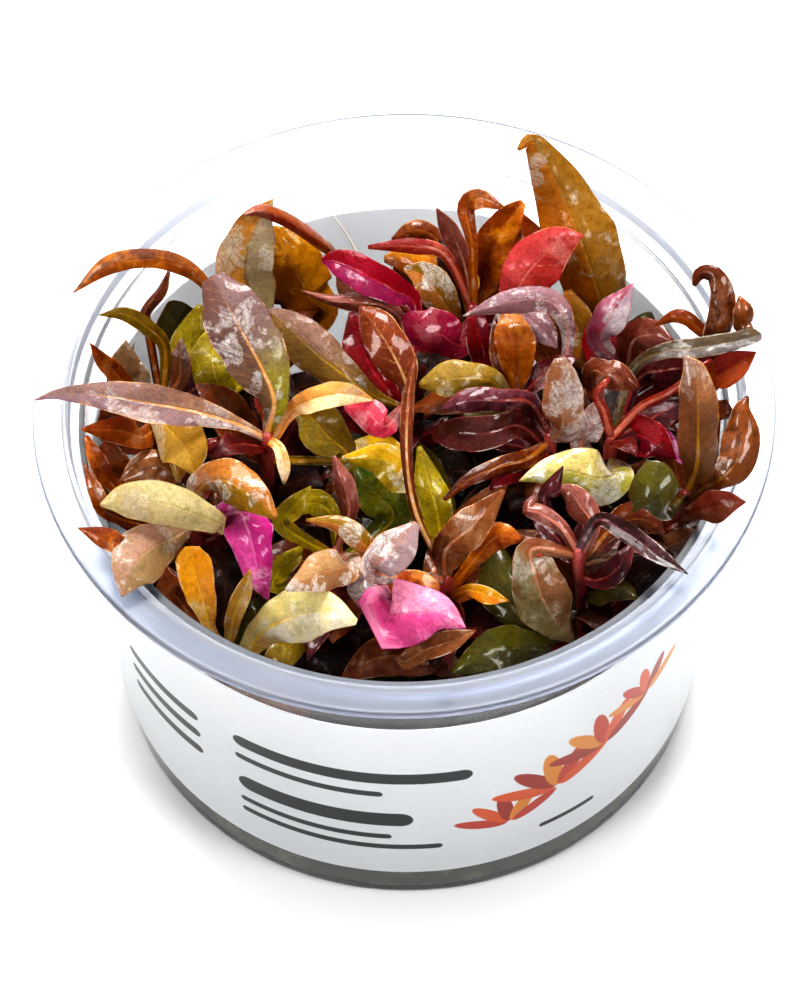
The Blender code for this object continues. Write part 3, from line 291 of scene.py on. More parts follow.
# Small leaves that stay part of their stem
SMALL_LEAVES = (
    Leaf("twist", "stem_far_left", 44.0, -20, "brown", (
        At(148, 330, 54, 1.4), At(145, 312, 57, 1.8), At(160, 290, 60, 2.2),
        At(168, 271, 62, 1.0)), (0, 60)),
    Leaf("small_olive", "stem_far_left", 45.5, -18, "olive", (
        At(165, 350, 55, 1.8), At(148, 328, 59.5, 2.4), At(125, 314, 63, 2.0),
        At(99, 315, 64.5, 0))),
    Leaf("orange_point", "stem_far_left", 40.0, 12, "orange", (
        At(118, 376, 56, 2.6), At(103, 361, 61, 2.2), At(90, 343, 64.5, 0))),
    Leaf("grey_point", "stem_far_left", 43.0, -12, "mauve", (
        At(124, 385, 52, 5.6), At(125, 362, 56, 4.2), At(126, 340, 59, 0))),
    Leaf("tan_back", "stem_far_left", 46.4, -12, "olive", (
        At(178, 380, 50, 3.0), At(180, 360, 53, 3.0), At(181, 338, 55.5, 0))),
    Leaf("brown_orange", "stem_far_left", 45.0, -20, "orange", (
        At(146, 436, 56, 3.4), At(118, 430, 60.5, 3.8), At(82, 429, 64, 0.4))),
    Leaf("yellow_left", "stem_far_left", 46.0, -14, "gold", (
        At(168, 424, 55, 4.0), At(180, 446, 56, 5.4), At(178, 482, 53, 0.6))),
    Leaf("orange_curve", "stem_lower_left", 42.0, 14, "orange", (
        At(116, 488, 55, 2.0), At(98, 462, 61, 2.6), At(86, 436, 63, 0.6))),
    Leaf("thin_left", "stem_lower_left", 44.6, 14, "russet", (
        At(114, 516, 60.5, 1.8), At(97, 494, 64.5, 2.2), At(84, 463, 65, 0))),
    Leaf("orange_left", "stem_lower_left", 41.0, -10, "orange", (
        At(128, 546, 63.5, 2.2), At(106, 538, 65.5, 3.0), At(78, 528, 66, 0))),
    Leaf("amber_dark", "stem_front_left", 33.4, -10, "orange", (
        At(186, 610, 43.5, 2.2), At(172, 588, 48, 4.0), At(162, 560, 51, 0))),
    Leaf("narrow_front", "stem_front_left", 42.0, 16, "amber", (
        At(234, 616, 51, 2.4), At(244, 590, 56, 2.4), At(250, 569, 59, 0))),
    Leaf("olive_front", "stem_middle_left", 36.0, -10, "olive", (
        At(304, 632, 41, 3.2), At(285, 650, 42.5, 4.6), At(262, 664, 42.5, 0.6))),
    Leaf("yellow_spike", "stem_middle_left", 44.6, 16, "lime", (
        At(284, 526, 53.5, 2.6), At(296, 505, 57, 3.0), At(311, 486, 59, 0))),
    Leaf("dark_bud", "stem_middle_left", 46.4, -40, "mauve", (
        At(349, 512, 55, 3.2), At(344, 485, 59, 3.8), At(334, 456, 61, 0.6))),
    Leaf("brown_gloss", "stem_middle_left", 45.6, -14, "brown", (
        At(348, 565, 57, 4.4), At(322, 572, 60.5, 5.4), At(286, 590, 60, 0.6))),
    Leaf("oval_silver", "stem_front_middle", 46.0, -10, "mauve", (
        At(374, 572, 56, 3.2), At(397, 548, 60, 5.8), At(417, 523, 61, 1.0))),
    Leaf("yellow_fold", "stem_back_middle", 43.0, -14, "gold", (
        At(402, 480, 55, 3.6), At(384, 460, 59, 5.0), At(342, 458, 58.5, 0.6))),
    Leaf("green_low", "stem_middle_left", 43.4, -10, "green", (
        At(392, 520, 48, 4.6), At(376, 492, 51.5, 6.0), At(356, 465, 53.5, 1.0))),
    Leaf("long_narrow", "stem_front_middle", 46.8, -50, "brown", (
        At(417, 516, 57, 1.8), At(407, 460, 64, 2.4), At(408, 400, 68.5, 2.6),
        At(416, 353, 70.5, 0))),
    Leaf("green_stalk_side", "stem_front_middle", 44.0, -10, "lime", (
        At(438, 516, 51, 4.2), At(428, 480, 54.5, 3.8), At(419, 446, 56.5, 0.6))),
    Leaf("small_crimson", "stem_back_middle", 47.0, -12, "crimson", (
        At(386, 426, 55.5, 3.2), At(368, 414, 56.5, 4.6), At(344, 407, 56, 0.6))),
    Leaf("orange_back", "stem_back", 51.0, -24, "orange", (
        At(446, 256, 61.5, 1.8), At(412, 246, 64, 2.4), At(368, 247, 63.5, 0.6))),
    Leaf("ribbon", "stem_back", 51.6, 18, "orange", (
        At(464, 262, 59, 2.0), At(452, 232, 64, 3.6), At(437, 208, 67, 0.4)), (0, 40)),
    Leaf("ribbon_lobe", "stem_back", 51.8, 14, "russet", (
        At(472, 244, 62, 1.6), At(466, 208, 65.5, 2.6), At(480, 199, 67, 3.0),
        At(503, 208, 67, 0.6))),
    Leaf("brown_tip", "stem_back_right", 47.0, -16, "mauve", (
        At(600, 342, 55, 3.6), At(612, 315, 60, 5.0), At(634, 283, 63.5, 0))),
    Leaf("brown_gloss_right", "stem_back_right", 46.0, -16, "brown", (
        At(632, 343, 54, 4.8), At(652, 334, 57, 4.2), At(674, 341, 57.5, 0))),
    Leaf("amber_edge", "stem_back_right", 43.0, -16, "amber", (
        At(738, 340, 65, 1.6), At(742, 325, 67.5, 2.6), At(743, 310, 69.5, 2.8),
        At(739, 296, 70.5, 0.3))),
    Leaf("orange_arch", "stem_back_right", 41.0, -20, "orange", (
        At(702, 348, 60, 1.6), At(694, 324, 64, 2.0), At(676, 316, 65, 2.0), At(654, 326, 63, 0))),
    Leaf("dark_right", "stem_right", 46.0, -14, "plum", (
        At(632, 436, 53, 5.4), At(654, 442, 54.5, 5.0), At(676, 459, 53, 0))),
    Leaf("small_low_right", "stem_far_right", 40.0, -10, "mauve", (
        At(664, 548, 45, 3.4), At(684, 538, 48, 2.8), At(700, 530, 50, 0))),
    Leaf("lavender_low", "stem_front_right", 50.0, 24, "plum", (
        At(598, 580, 54, 2.4), At(616, 570, 57, 3.6), At(634, 541, 59, 0.4))),
    Leaf("dark_twist", "stem_front_right", 53.0, -20, "plum", (
        At(545, 504, 60, 1.8), At(552, 488, 62.5, 2.6), At(563, 466, 64, 0))),
    Leaf("brown_midrib", "stem_front_middle", 45.0, -12, "brown", (
        At(446, 550, 53, 4.2), At(472, 526, 57, 5.2), At(504, 490, 60, 0.6))),
    Leaf("amber_low", "stem_front_middle", 42.0, -24, "amber", (
        At(478, 556, 51, 2.6), At(498, 536, 54, 4.4), At(522, 540, 54, 0.8))),
    Leaf("yellow_tip", "stem_front_middle", 40.6, 12, "gold", (
        At(468, 590, 49.5, 1.6), At(488, 596, 51.5, 2.4), At(509, 601, 51, 0))),
    Leaf("brown_upright", "stem_right", 44.6, -14, "mauve", (
        At(582, 448, 51.5, 3.0), At(590, 425, 55.5, 4.2), At(600, 398, 58, 0.6))),
)

# Leaves between the others. Each moves back along its line of sight until it stands clear.
FILL_LEAVES = (
    Leaf("tan_wide", "stem_far_left", 42.0, 12, "tan", (
        At(138, 408, 50, 3.0), At(128, 388, 53, 7.2), At(124, 364, 56, 5.2), At(127, 339, 58, 0))),
    Leaf("crackled_edge", "stem_back_left", 41.0, -12, "lime", (
        At(212, 400, 46, 2.0), At(192, 376, 49, 5.4), At(189, 345, 52, 5.6),
        At(200, 305, 55, 1.0))),
    Leaf("amber_wide", "stem_back_left", 38.0, -14, "leaf_gold_back", (
        At(322, 322, 43, 3.0), At(310, 297, 47, 7.8), At(294, 268, 51, 9.0), At(279, 243, 54, 6.0),
        At(268, 226, 56, 0.6))),
    Leaf("rolled_brown", "stem_back_middle", 47.0, -40, "silk", (
        At(404, 330, 53, 1.8), At(386, 307, 57, 3.4), At(362, 303, 59, 3.8), At(330, 300, 59, 2.0),
        At(302, 291, 58, 0.3))),
    Leaf("brown_cap", "stem_back", 50.0, -24, "russet", (
        At(446, 262, 55, 1.6), At(436, 238, 57, 2.6), At(414, 229, 58, 2.8),
        At(392, 240, 57, 0.6))),
    Leaf("yellow_slip", "stem_back", 49.0, 12, "leaf_amber_spoon", (
        At(468, 296, 53, 2.0), At(470, 280, 56, 2.8), At(464, 262, 58, 0.6))),
    Leaf("whorl_brown", "stem_back", 48.0, -18, "leaf_dark_gloss", (
        At(450, 322, 50, 2.0), At(426, 302, 53, 4.0), At(407, 280, 55, 4.0),
        At(393, 262, 56, 0.4))),
    Leaf("whorl_orange", "stem_back", 47.0, 14, "orange", (
        At(455, 318, 50, 2.4), At(440, 296, 53, 5.0), At(424, 276, 55, 4.6),
        At(404, 268, 56, 0.6))),
    Leaf("whorl_shade", "stem_back", 45.0, -10, "russet", (
        At(492, 300, 51, 2.6), At(504, 272, 55, 4.4), At(514, 246, 58, 3.4),
        At(519, 226, 60, 0.4))),
    Leaf("far_gold", "stem_back_right", 40.0, -10, "amber", (
        At(545, 305, 45, 3.0), At(532, 270, 49, 6.6), At(524, 238, 52, 6.4),
        At(520, 214, 54, 1.0))),
    Leaf("crimson_low", "stem_back_middle", 44.0, 10, "wine", (
        At(392, 396, 48, 2.4), At(374, 372, 50, 5.6), At(360, 344, 52, 5.2),
        At(352, 312, 53, 1.0))),
    Leaf("crimson_strap", "stem_centre", 46.0, 12, "wine", (
        At(490, 372, 48, 3.0), At(482, 345, 51, 4.2), At(475, 320, 53, 3.0),
        At(472, 302, 54, 0.4))),
    Leaf("wine_shade", "stem_back", 42.0, -10, "shade", (
        At(462, 352, 44, 3.0), At(448, 330, 46, 6.0), At(430, 300, 48, 6.0),
        At(420, 276, 49, 1.0))),
    Leaf("lavender_flap", "stem_centre_right", 49.0, -14, "leaf_lavender", (
        At(505, 312, 58, 2.8), At(528, 318, 60, 4.6), At(546, 334, 60, 3.4),
        At(557, 348, 59, 0.3))),
    Leaf("wine_right", "stem_back_right", 45.0, -12, "wine", (
        At(604, 372, 50, 3.0), At(603, 350, 53, 6.0), At(612, 328, 55, 6.0),
        At(624, 312, 56, 1.0))),
    Leaf("brown_back", "stem_back_right", 44.0, -12, "leaf_tall_back", (
        At(594, 374, 47, 2.4), At(582, 346, 50, 4.6), At(575, 318, 53, 5.0),
        At(568, 290, 55, 1.0))),
    Leaf("dark_under", "stem_right", 48.0, -16, "plum", (
        At(636, 382, 54, 2.4), At(666, 370, 57, 5.4), At(700, 366, 59, 5.0),
        At(734, 354, 60, 0.6))),
    Leaf("salmon_stalk", "stem_right", 53.0, -10, "salmon", (
        At(640, 408, 56, 1.3), At(672, 391, 59, 1.2), At(704, 366, 61, 1.0),
        At(712, 360, 61, 0.6))),
    Leaf("salmon_branch", "stem_right", 53.4, -10, "salmon", (
        At(604, 412, 57, 1.5), At(597, 396, 59, 1.3), At(604, 384, 60, 1.0),
        At(610, 378, 60, 0.5))),
    Leaf("magenta_slip", "stem_right", 47.0, 10, "leaf_magenta_hanging", (
        At(640, 414, 54, 1.4), At(657, 429, 55, 2.4), At(670, 446, 54, 2.2),
        At(682, 464, 53, 0.3))),
    Leaf("outer_shade", "stem_far_right", 44.0, -10, "brown", (
        At(704, 500, 50, 3.0), At(716, 470, 54, 6.0), At(724, 436, 57, 6.0),
        At(722, 400, 60, 1.4))),
    Leaf("red_under", "stem_far_right", 42.0, -12, "leaf_point_right", (
        At(664, 530, 51, 4.0), At(688, 518, 54, 8.4), At(714, 505, 57, 6.8),
        At(741, 495, 59, 0.8))),
    Leaf("brown_low_right", "stem_far_right", 40.0, -14, "brown", (
        At(660, 538, 48, 3.0), At(676, 540, 50, 5.6), At(692, 532, 51, 4.4),
        At(703, 516, 52, 0.5))),
    Leaf("mauve_strap", "stem_front_right", 55.0, -20, "silk", (
        At(562, 528, 58, 2.0), At(542, 514, 59, 2.6), At(527, 508, 59, 1.8),
        At(540, 494, 59, 1.0))),
    Leaf("mauve_ledge", "stem_front_right", 53.0, -16, "silk", (
        At(592, 526, 57, 2.6), At(582, 508, 59, 4.2), At(572, 494, 60, 3.0),
        At(556, 486, 60, 0.6))),
    Leaf("brown_shoulder", "stem_front_right", 52.0, -14, "brown", (
        At(608, 532, 54, 2.6), At(628, 520, 56, 5.0), At(646, 520, 57, 4.0),
        At(664, 534, 57, 0.5))),
    Leaf("shade_right", "stem_front_right", 44.0, -10, "shade", (
        At(608, 590, 46, 3.0), At(632, 580, 48, 6.2), At(652, 566, 49, 5.4),
        At(672, 552, 50, 0.8))),
    Leaf("olive_gloss", "stem_front_right", 42.0, -14, "leaf_dark_blob", (
        At(530, 622, 44, 3.0), At(508, 600, 47, 6.4), At(500, 575, 49, 6.6),
        At(498, 546, 50, 1.4))),
    Leaf("olive_stalk", "stem_left", 50.0, 12, "olive", (
        At(345, 458, 50, 2.0), At(328, 436, 52, 6.4), At(312, 418, 53, 5.6),
        At(294, 408, 53, 0.8))),
    Leaf("bud_leaf", "stem_left", 54.0, 16, "salmon", (
        At(268, 414, 58, 2.2), At(262, 400, 60, 2.4), At(264, 390, 61, 0.5))),
    Leaf("hanging_pale", "stem_left", 54.4, 10, "leaf_opposite_gold", (
        At(279, 448, 55.5, 1.6), At(284, 468, 54, 1.8), At(284, 484, 52.5, 0.4))),
    Leaf("yellow_top", "stem_back_middle", 44.0, -16, "sunlit", (
        At(400, 470, 54, 3.4), At(382, 458, 57, 6.6), At(358, 458, 58, 5.0),
        At(334, 464, 58, 0.5))),
    Leaf("green_under", "stem_middle_left", 43.0, -12, "moss", (
        At(402, 522, 46, 3.4), At(388, 498, 48, 7.0), At(372, 476, 50, 5.8),
        At(356, 462, 51, 0.6))),
    Leaf("green_right", "stem_front_middle", 43.6, -12, "leaf_lime_back", (
        At(446, 520, 49, 2.8), At(432, 492, 52, 5.8), At(420, 462, 54, 4.8),
        At(410, 438, 55, 0.8))),
    Leaf("lime_low", "stem_middle_left", 40.0, 12, "lime", (
        At(276, 588, 45, 1.6), At(280, 570, 47, 3.0), At(294, 557, 48, 2.4),
        At(302, 546, 48, 0.4))),
    Leaf("lime_curl", "stem_middle_left", 42.0, -16, "lime", (
        At(334, 520, 50, 2.2), At(320, 504, 52, 4.0), At(308, 504, 53, 3.2),
        At(298, 514, 53, 0.5))),
    Leaf("orange_ridge", "stem_middle_left", 45.0, -24, "leaf_folded_top", (
        At(372, 556, 54, 2.2), At(358, 538, 57, 3.4), At(338, 524, 58, 2.6),
        At(306, 520, 58, 0.4))),
    Leaf("silver_side", "stem_middle_left", 44.0, -18, "silver", (
        At(372, 608, 52, 1.8), At(364, 592, 54, 4.2), At(358, 580, 55, 3.6),
        At(352, 570, 55, 0.6))),
    Leaf("brown_long", "stem_front_middle", 44.0, -12, "leaf_front_brown", (
        At(432, 576, 50, 2.4), At(446, 552, 52, 5.2), At(468, 526, 55, 5.6), At(490, 500, 57, 3.6),
        At(508, 478, 58, 0.6))),
    Leaf("long_stalk", "stem_centre_right", 50.0, -10, "brown", (
        At(528, 458, 54, 2.6), At(500, 466, 55, 2.6), At(468, 480, 55, 1.8),
        At(444, 500, 54, 0.5))),
    Leaf("wine_fold", "stem_centre_right", 48.0, 20, "wine", (
        At(540, 462, 52, 2.2), At(520, 470, 53, 3.4), At(502, 478, 53, 2.4),
        At(490, 490, 52, 0.4))),
    Leaf("shade_centre", "stem_centre_right", 42.0, -8, "shade", (
        At(526, 500, 44, 3.0), At(506, 504, 46, 6.6), At(480, 508, 47, 6.0),
        At(456, 512, 47, 0.6))),
    Leaf("pink_brown", "stem_far_left", 46.0, -16, "leaf_front_brown", (
        At(176, 474, 55, 2.0), At(160, 466, 58, 4.2), At(142, 468, 60, 4.2),
        At(120, 482, 60, 0.5))),
    Leaf("brown_wide", "stem_far_left", 44.0, -12, "brown", (
        At(160, 454, 52, 3.0), At(140, 436, 55, 6.0), At(112, 424, 58, 6.2),
        At(82, 426, 60, 0.8))),
    Leaf("yellow_wide", "stem_far_left", 46.0, -12, "yellow", (
        At(162, 420, 54, 3.6), At(176, 436, 54.5, 7.0), At(188, 452, 54, 6.2),
        At(196, 476, 52, 0.6))),
    Leaf("salmon_bud", "stem_far_left", 46.8, -24, "salmon", (
        At(196, 446, 53, 1.6), At(212, 446, 54, 2.6), At(226, 436, 54, 0.5))),
    Leaf("front_dark", "stem_front_middle", 36.0, -12, "brown", (
        At(430, 662, 40, 3.0), At(400, 656, 42, 5.4), At(372, 660, 43, 5.0),
        At(340, 682, 42, 0.6))),
    Leaf("front_shade", "stem_front_left", 33.0, -10, "shade", (
        At(268, 655, 38, 3.0), At(300, 648, 41, 6.0), At(334, 654, 42, 5.4),
        At(366, 672, 41, 0.8))),
    Leaf("front_red", "stem_front_middle", 37.0, 14, "russet", (
        At(424, 656, 41, 2.4), At(444, 664, 42, 3.8), At(462, 676, 41.5, 0.5))),
    Leaf("front_amber", "stem_front_middle", 41.0, -14, "amber", (
        At(440, 602, 52, 3.2), At(422, 592, 56, 5.0), At(402, 584, 58, 4.4),
        At(384, 574, 58, 0.5))),
    Leaf("edge_left", "stem_lower_left", 40.0, -12, "shade_amber", (
        At(130, 520, 46, 3.0), At(118, 492, 49, 6.4), At(110, 464, 52, 5.6),
        At(108, 438, 54, 1.0))),
    Leaf("edge_far_left", "stem_far_left", 40.0, -12, "shade_olive", (
        At(196, 356, 45, 3.4), At(180, 332, 47, 7.4), At(168, 312, 49, 5.6),
        At(162, 300, 50, 1.0))),
    Leaf("edge_back_left", "stem_back_middle", 42.0, 12, "shade_amber", (
        At(392, 330, 46, 3.2), At(372, 300, 49, 6.6), At(352, 278, 51, 5.4),
        At(338, 264, 52, 1.0))),
    Leaf("edge_back", "stem_centre_right", 42.0, -12, "shade_amber", (
        At(550, 372, 47, 3.2), At(546, 345, 49, 6.4), At(540, 322, 51, 5.2),
        At(536, 304, 52, 1.0))),
    Leaf("edge_right", "stem_right", 42.0, -12, "shade_red", (
        At(636, 420, 46, 3.2), At(664, 404, 48, 6.6), At(688, 390, 50, 5.4),
        At(704, 378, 51, 1.0))),
    Leaf("shade_front_left", "stem_lower_left", 42.0, -10, "shade", (
        At(210, 556, 48, 3.0), At(222, 574, 50, 6.6), At(226, 600, 49, 5.6),
        At(220, 628, 46, 0.8))),
)

# How a leaf's face is coloured: inks near its stalk, towards its tip, on its left half (partly
# painted light and shade), in patches and along its midrib, then how much painted sheen, a painted
# reflection of the lamps, it carries and how much of it is wet
Look = namedtuple("Look", "inks bloom wet")
LOOKS = {
    "russet": Look("845024 643418 78401C 9C642C B07848", 0.18, 0.6),
    "orange": Look("A8661C 743C18 8C501A C4801C B87840", 0.12, 0.6),
    "amber": Look("BC7414 985008 A8640A D8961C D89848", 0.10, 0.5),
    "gold": Look("D0961C B87820 C09020 A08418 E8B860", 0.15, 0.5),
    "olive": Look("86701A 66500F 766410 94801C B88C40", 0.20, 0.5),
    "lime": Look("A08E10 80700C 8C7C0C BCA81C C8B430", 0.10, 0.5),
    "green": Look("544A0A 383208 463E08 6C6010 84703A", 0.08, 0.5),
    "cream": Look("CCB070 C4A468 C0A460 988040 C8A868", 0.20, 0.4),
    "crimson": Look("B41C34 C42440 A01830 7A1028 D86058", 0.05, 0.5),
    "magenta": Look("E04898 C8207C D83088 F080B8 F0A0C8", 0.05, 0.4),
    "plum": Look("52202A 381418 481A1C 703C40 984C44", 0.15, 0.6),
    "brown": Look("743C1A 502812 64300F 84501C B07848", 0.18, 0.6),
    "mauve": Look("845840 786058 7C5038 60402C B88060", 0.40, 0.5),
    "shade": Look("341A0C 200F08 2C150A 40260C 54301C", 0.0, 0.2),
    "shade_red": Look("561C12 3C100E 4A1610 6A2416 7C3420", 0.0, 0.25),
    "shade_olive": Look("443A08 302A08 3A3208 584C0E 645210", 0.0, 0.3),
    "shade_amber": Look("74400A 502C08 623408 8A520E 845018", 0.0, 0.3),
    "wine": Look("84142A 66102A 741024 A4283E B04048", 0.0, 0.6),
    "tan": Look("8C7452 8C7660 80694A 6E563C A88C68", 0.30, 0.5),
    "silk": Look("74382C 8C5C54 603024 A07068 C89080", 0.10, 0.9),
    "salmon": Look("9C4838 7C3434 8C4034 B87060 D08878", 0.0, 0.6),
    "yellow": Look("A87C10 B09058 94700C 785C0C C4A040", 0.30, 0.6),
    # The next two looks carry a strong painted sheen, a painted reflection that makes them look
    # silvery and frosted
    "silver": Look("A87860 A08C8C A88C84 6C4C44 D88868", 0.75, 0.8),
    "frosted": Look("A06C4C B09070 987050 6C4830 C08868", 0.65, 0.8),
    "coral": Look("C46468 BC5864 B45060 D89090 E0A0A0", 0.25, 0.6),
    "blush": Look("8C1838 B4A0A8 9C4458 D0C4CC C07070", 0.60, 0.6),
    "sunlit": Look("A07C0C C09C30 8C7C10 E0D090 D0B040", 0.60, 0.9),
    "moss": Look("6C6810 3A4A0A 565A0C 8C8414 94801C", 0.0, 0.6),
    "leaf_spear_left": Look("B08C70 98807C 847074 A07C6C DCAC7C", 0.45, 0.7),
    "leaf_big_purple": Look("8C8412 806A68 6C5048 4E382C DCA878", 0.50, 0.7),
    "leaf_opposite_gold": Look("E89C64 F0D4B0 E0A464 F4E4C8 F4C890", 0.20, 0.6),
    "leaf_arch_left": Look("C8801C 7C5444 9C5C1C E49C2C A05C20", 0.08, 0.5),
    "leaf_back_olive": Look("A89C74 A0907C C08820 8C8460 786850", 0.40, 0.4),
    "leaf_rolled_red": Look("7C3020 8C5030 702818 A05C48 A05844", 0.12, 0.6),
    "leaf_gold_back": Look("A05C0C BC8820 804C0A E8B83C B07820", 0.10, 0.6),
    "leaf_olive_middle": Look("987C12 94786C 745C10 5C4410 A88838", 0.50, 0.5),
    "leaf_lime_back": Look("98860C 78680C 7C700A AC9C18 BCA428", 0.12, 0.5),
    "leaf_crimson_back": Look("88103C 98183C 6C144C B83C5C D05858", 0.05, 0.6),
    "leaf_dark_gloss": Look("643018 7C4430 6C3824 844834 E8C090", 0.0, 0.9),
    "leaf_crimson_centre": Look("7C2038 802440 6C1C34 944048 A04850", 0.08, 0.6),
    "leaf_amber_centre": Look("B0680E C08834 94540E 7C440C A86024", 0.15, 0.7),
    "leaf_orange_upright": Look("C07C20 A86830 88480F E8A848 98541C", 0.14, 0.5),
    "leaf_red_oval": Look("B05C50 A84C48 B45858 C47870 DC9888", 0.12, 0.4),
    "leaf_tall_back": Look("A87C40 8C6838 A86C1C A08C64 A8844C", 0.40, 0.6),
    "leaf_lavender": Look("703A2C 987C80 7C5C5C 4E3034 B48880", 0.60, 0.6),
    "leaf_amber_vertical": Look("A0640C 8C541C 905210 C88C24 84480E", 0.12, 0.6),
    "leaf_pale_olive": Look("987818 907848 785F14 B09860 A88838", 0.30, 0.6),
    "leaf_hook": Look("4A2810 5C3014 48260E 80501C 784828", 0.08, 0.7),
    "leaf_long_grey": Look("5C4424 6C6460 54442C 807870 847050", 0.30, 0.7),
    "leaf_red_right": Look("842A1C 8C481C 742418 B47C20 A85028", 0.10, 0.6),
    "leaf_brown_shield": Look("5C2612 683A28 5C2C1A 8C5844 A86C50", 0.15, 0.6),
    "leaf_upright_grey": Look("9C6034 A08474 946448 6C4430 B08C70", 0.55, 0.5),
    "leaf_plum_upper": Look("481E28 54282E 401A20 7C5058 A05850", 0.10, 0.9),
    "leaf_plum_lower": Look("441A14 4E2420 4A1C18 6C403C 94504C", 0.05, 0.9),
    "leaf_pale_right": Look("84782C C0B080 94904C D4CCB0 A8944C", 0.60, 0.9),
    "leaf_dark_blob": Look("3C3808 565012 463E0A 2A2608 60541A", 0.05, 0.9),
    "leaf_upright_ochre": Look("88603C 946C54 7C5440 6C4C38 CC9C48", 0.20, 0.5),
    "leaf_outer_right": Look("50320E 643C0C 482C0C 94581A 84582A", 0.06, 0.8),
    "leaf_point_right": Look("5C2818 643828 582418 885850 84402C", 0.20, 0.5),
    "leaf_veined_brown": Look("8C5040 6C6044 785440 949078 A87860", 0.30, 0.6),
    "leaf_long_dark": Look("3E2020 302018 381C1C 64484C 744850", 0.08, 0.9),
    "leaf_bright_pink": Look("C84C80 D07098 E4A8B8 ECB8C4 B44474", 0.18, 0.6),
    "leaf_front_green": Look("403808 545010 383008 6C641C 5A5020", 0.05, 0.8),
    "leaf_front_brown": Look("7C4830 84583C 6C4028 A47C5C C89070", 0.20, 0.7),
    "leaf_folded_top": Look("C89060 8C6C30 B47C54 6C5C1C C09058", 0.60, 0.9),
    "leaf_magenta_hanging": Look("8C2C64 C06494 B04880 E4A0C0 DCA0BC", 0.35, 0.8),
    "leaf_pale_left": Look("B89C70 C0B490 B4A484 A08C68 B09C68", 0.22, 0.4),
    "leaf_grey_olive_left": Look("7C6844 A08474 8C7858 6C5C30 B09478", 0.40, 0.6),
    "leaf_amber_spoon": Look("E4B03C D09438 DCA43C F8DC90 F0CC60", 0.30, 0.9),
    "leaf_cream_front": Look("C8A01C D8CCB0 CCC08C E4DCC4 D8B420", 0.50, 0.8),
}
# Small leaves that differ from the tint of their slot
SMALL_LOOKS = {
    "narrow_front": "yellow", "ribbon_lobe": "orange", "ribbon": "silk", "orange_back": "salmon",
    "whorl_orange": "leaf_folded_top", "amber_edge": "leaf_outer_right",
    "grey_point": "tan", "tan_back": "mauve", "yellow_left": "yellow", "dark_bud": "silk",
    "brown_gloss": "frosted", "oval_silver": "silver", "yellow_fold": "sunlit", "green_low": "moss",
    "small_crimson": "coral", "brown_tip": "blush", "brown_gloss_right": "silk",
    "brown_midrib": "leaf_front_brown", "long_narrow": "leaf_dark_gloss",
    "brown_upright": "silver", "dark_right": "wine",
}


def paint(code):
    """A colour written as six hexadecimal digits, as the shader takes it."""
    parts = [int(code[i:i + 2], 16) / 255 for i in (0, 2, 4)]
    return tuple(c / 12.92 if c < 0.04045 else ((c + 0.055) / 1.055) ** 2.4 for c in parts)


class CupSettings(bpy.types.PropertyGroup):
    facets: IntProperty(name="Facets", description="Facets round the cup", default=180, min=40)
    tint: FloatVectorProperty(name="Tint", description="Colour of the clear plastic",
                              subtype="COLOR", size=3, default=(0.95, 0.965, 0.99))
    roughness: FloatProperty(name="Roughness", description="Haze of the moulded surface",
                             subtype="FACTOR", default=0.06, min=0.0, max=1.0)


class LabelSettings(bpy.types.PropertyGroup):
    film: FloatVectorProperty(name="Film", description="Colour of the bare film",
                              subtype="COLOR", size=3, default=(0.58, 0.60, 0.62))
    ink: FloatVectorProperty(name="Ink", description="Colour of the printed bars",
                             subtype="COLOR", size=3, default=(0.010, 0.014, 0.013))


class LeafSettings(bpy.types.PropertyGroup):
    ring_step: FloatProperty(name="Ring step", description="Distance between a leaf's rings",
                             subtype="DISTANCE", unit="LENGTH", default=0.55 * MM)
    columns: IntProperty(name="Columns", description="Points across a leaf", default=17, min=5)
    thickness: FloatProperty(name="Thickness", description="Thickness of the blade",
                             subtype="DISTANCE", unit="LENGTH", default=0.24 * MM)
    vein_step: FloatProperty(name="Vein step", description="Distance between side veins",
                             subtype="DISTANCE", unit="LENGTH", default=2.1 * MM)
    quilt: FloatProperty(name="Quilting", description="How far the blade swells between veins",
                         subtype="DISTANCE", unit="LENGTH", default=0.08 * MM)
    ripple: FloatProperty(name="Ripple", description="Height of the margin's waves",
                          subtype="DISTANCE", unit="LENGTH", default=0.32 * MM)


class UndergrowthSettings(bpy.types.PropertyGroup):
    first_node: FloatProperty(name="First node", description="Height of a stem's lowest leaves",
                              subtype="DISTANCE", unit="LENGTH", default=20.0 * MM)
    node_step: FloatProperty(name="Node step", description="Height between pairs of leaves",
                             subtype="DISTANCE", unit="LENGTH", default=3.2 * MM)
    length: FloatProperty(name="Length", description="Length of a low leaf",
                          subtype="DISTANCE", unit="LENGTH", default=15.0 * MM)
    seed: IntProperty(name="Seed", description="Order of the chance choices", default=4)


class WaterSettings(bpy.types.PropertyGroup):
    drop: FloatProperty(name="Drop", description="Radius of the largest drops",
                        subtype="DISTANCE", unit="LENGTH", default=0.36 * MM)
    density: FloatProperty(name="Density", description="Drops on a square metre of leaf",
                           default=30000.0)
    seed: IntProperty(name="Seed", description="Order of the chance choices", default=7)


class StageSettings(bpy.types.PropertyGroup):
    floor: FloatVectorProperty(name="Floor", description="Colour of the floor", subtype="COLOR",
                               size=3, default=(0.96, 0.96, 0.96))
    sky: FloatProperty(name="Sky", description="Strength of the light from all round", default=0.26)
    key: FloatProperty(name="Lamps", description="Brightness of all the lamps together",
                       default=1.0, min=0.0)


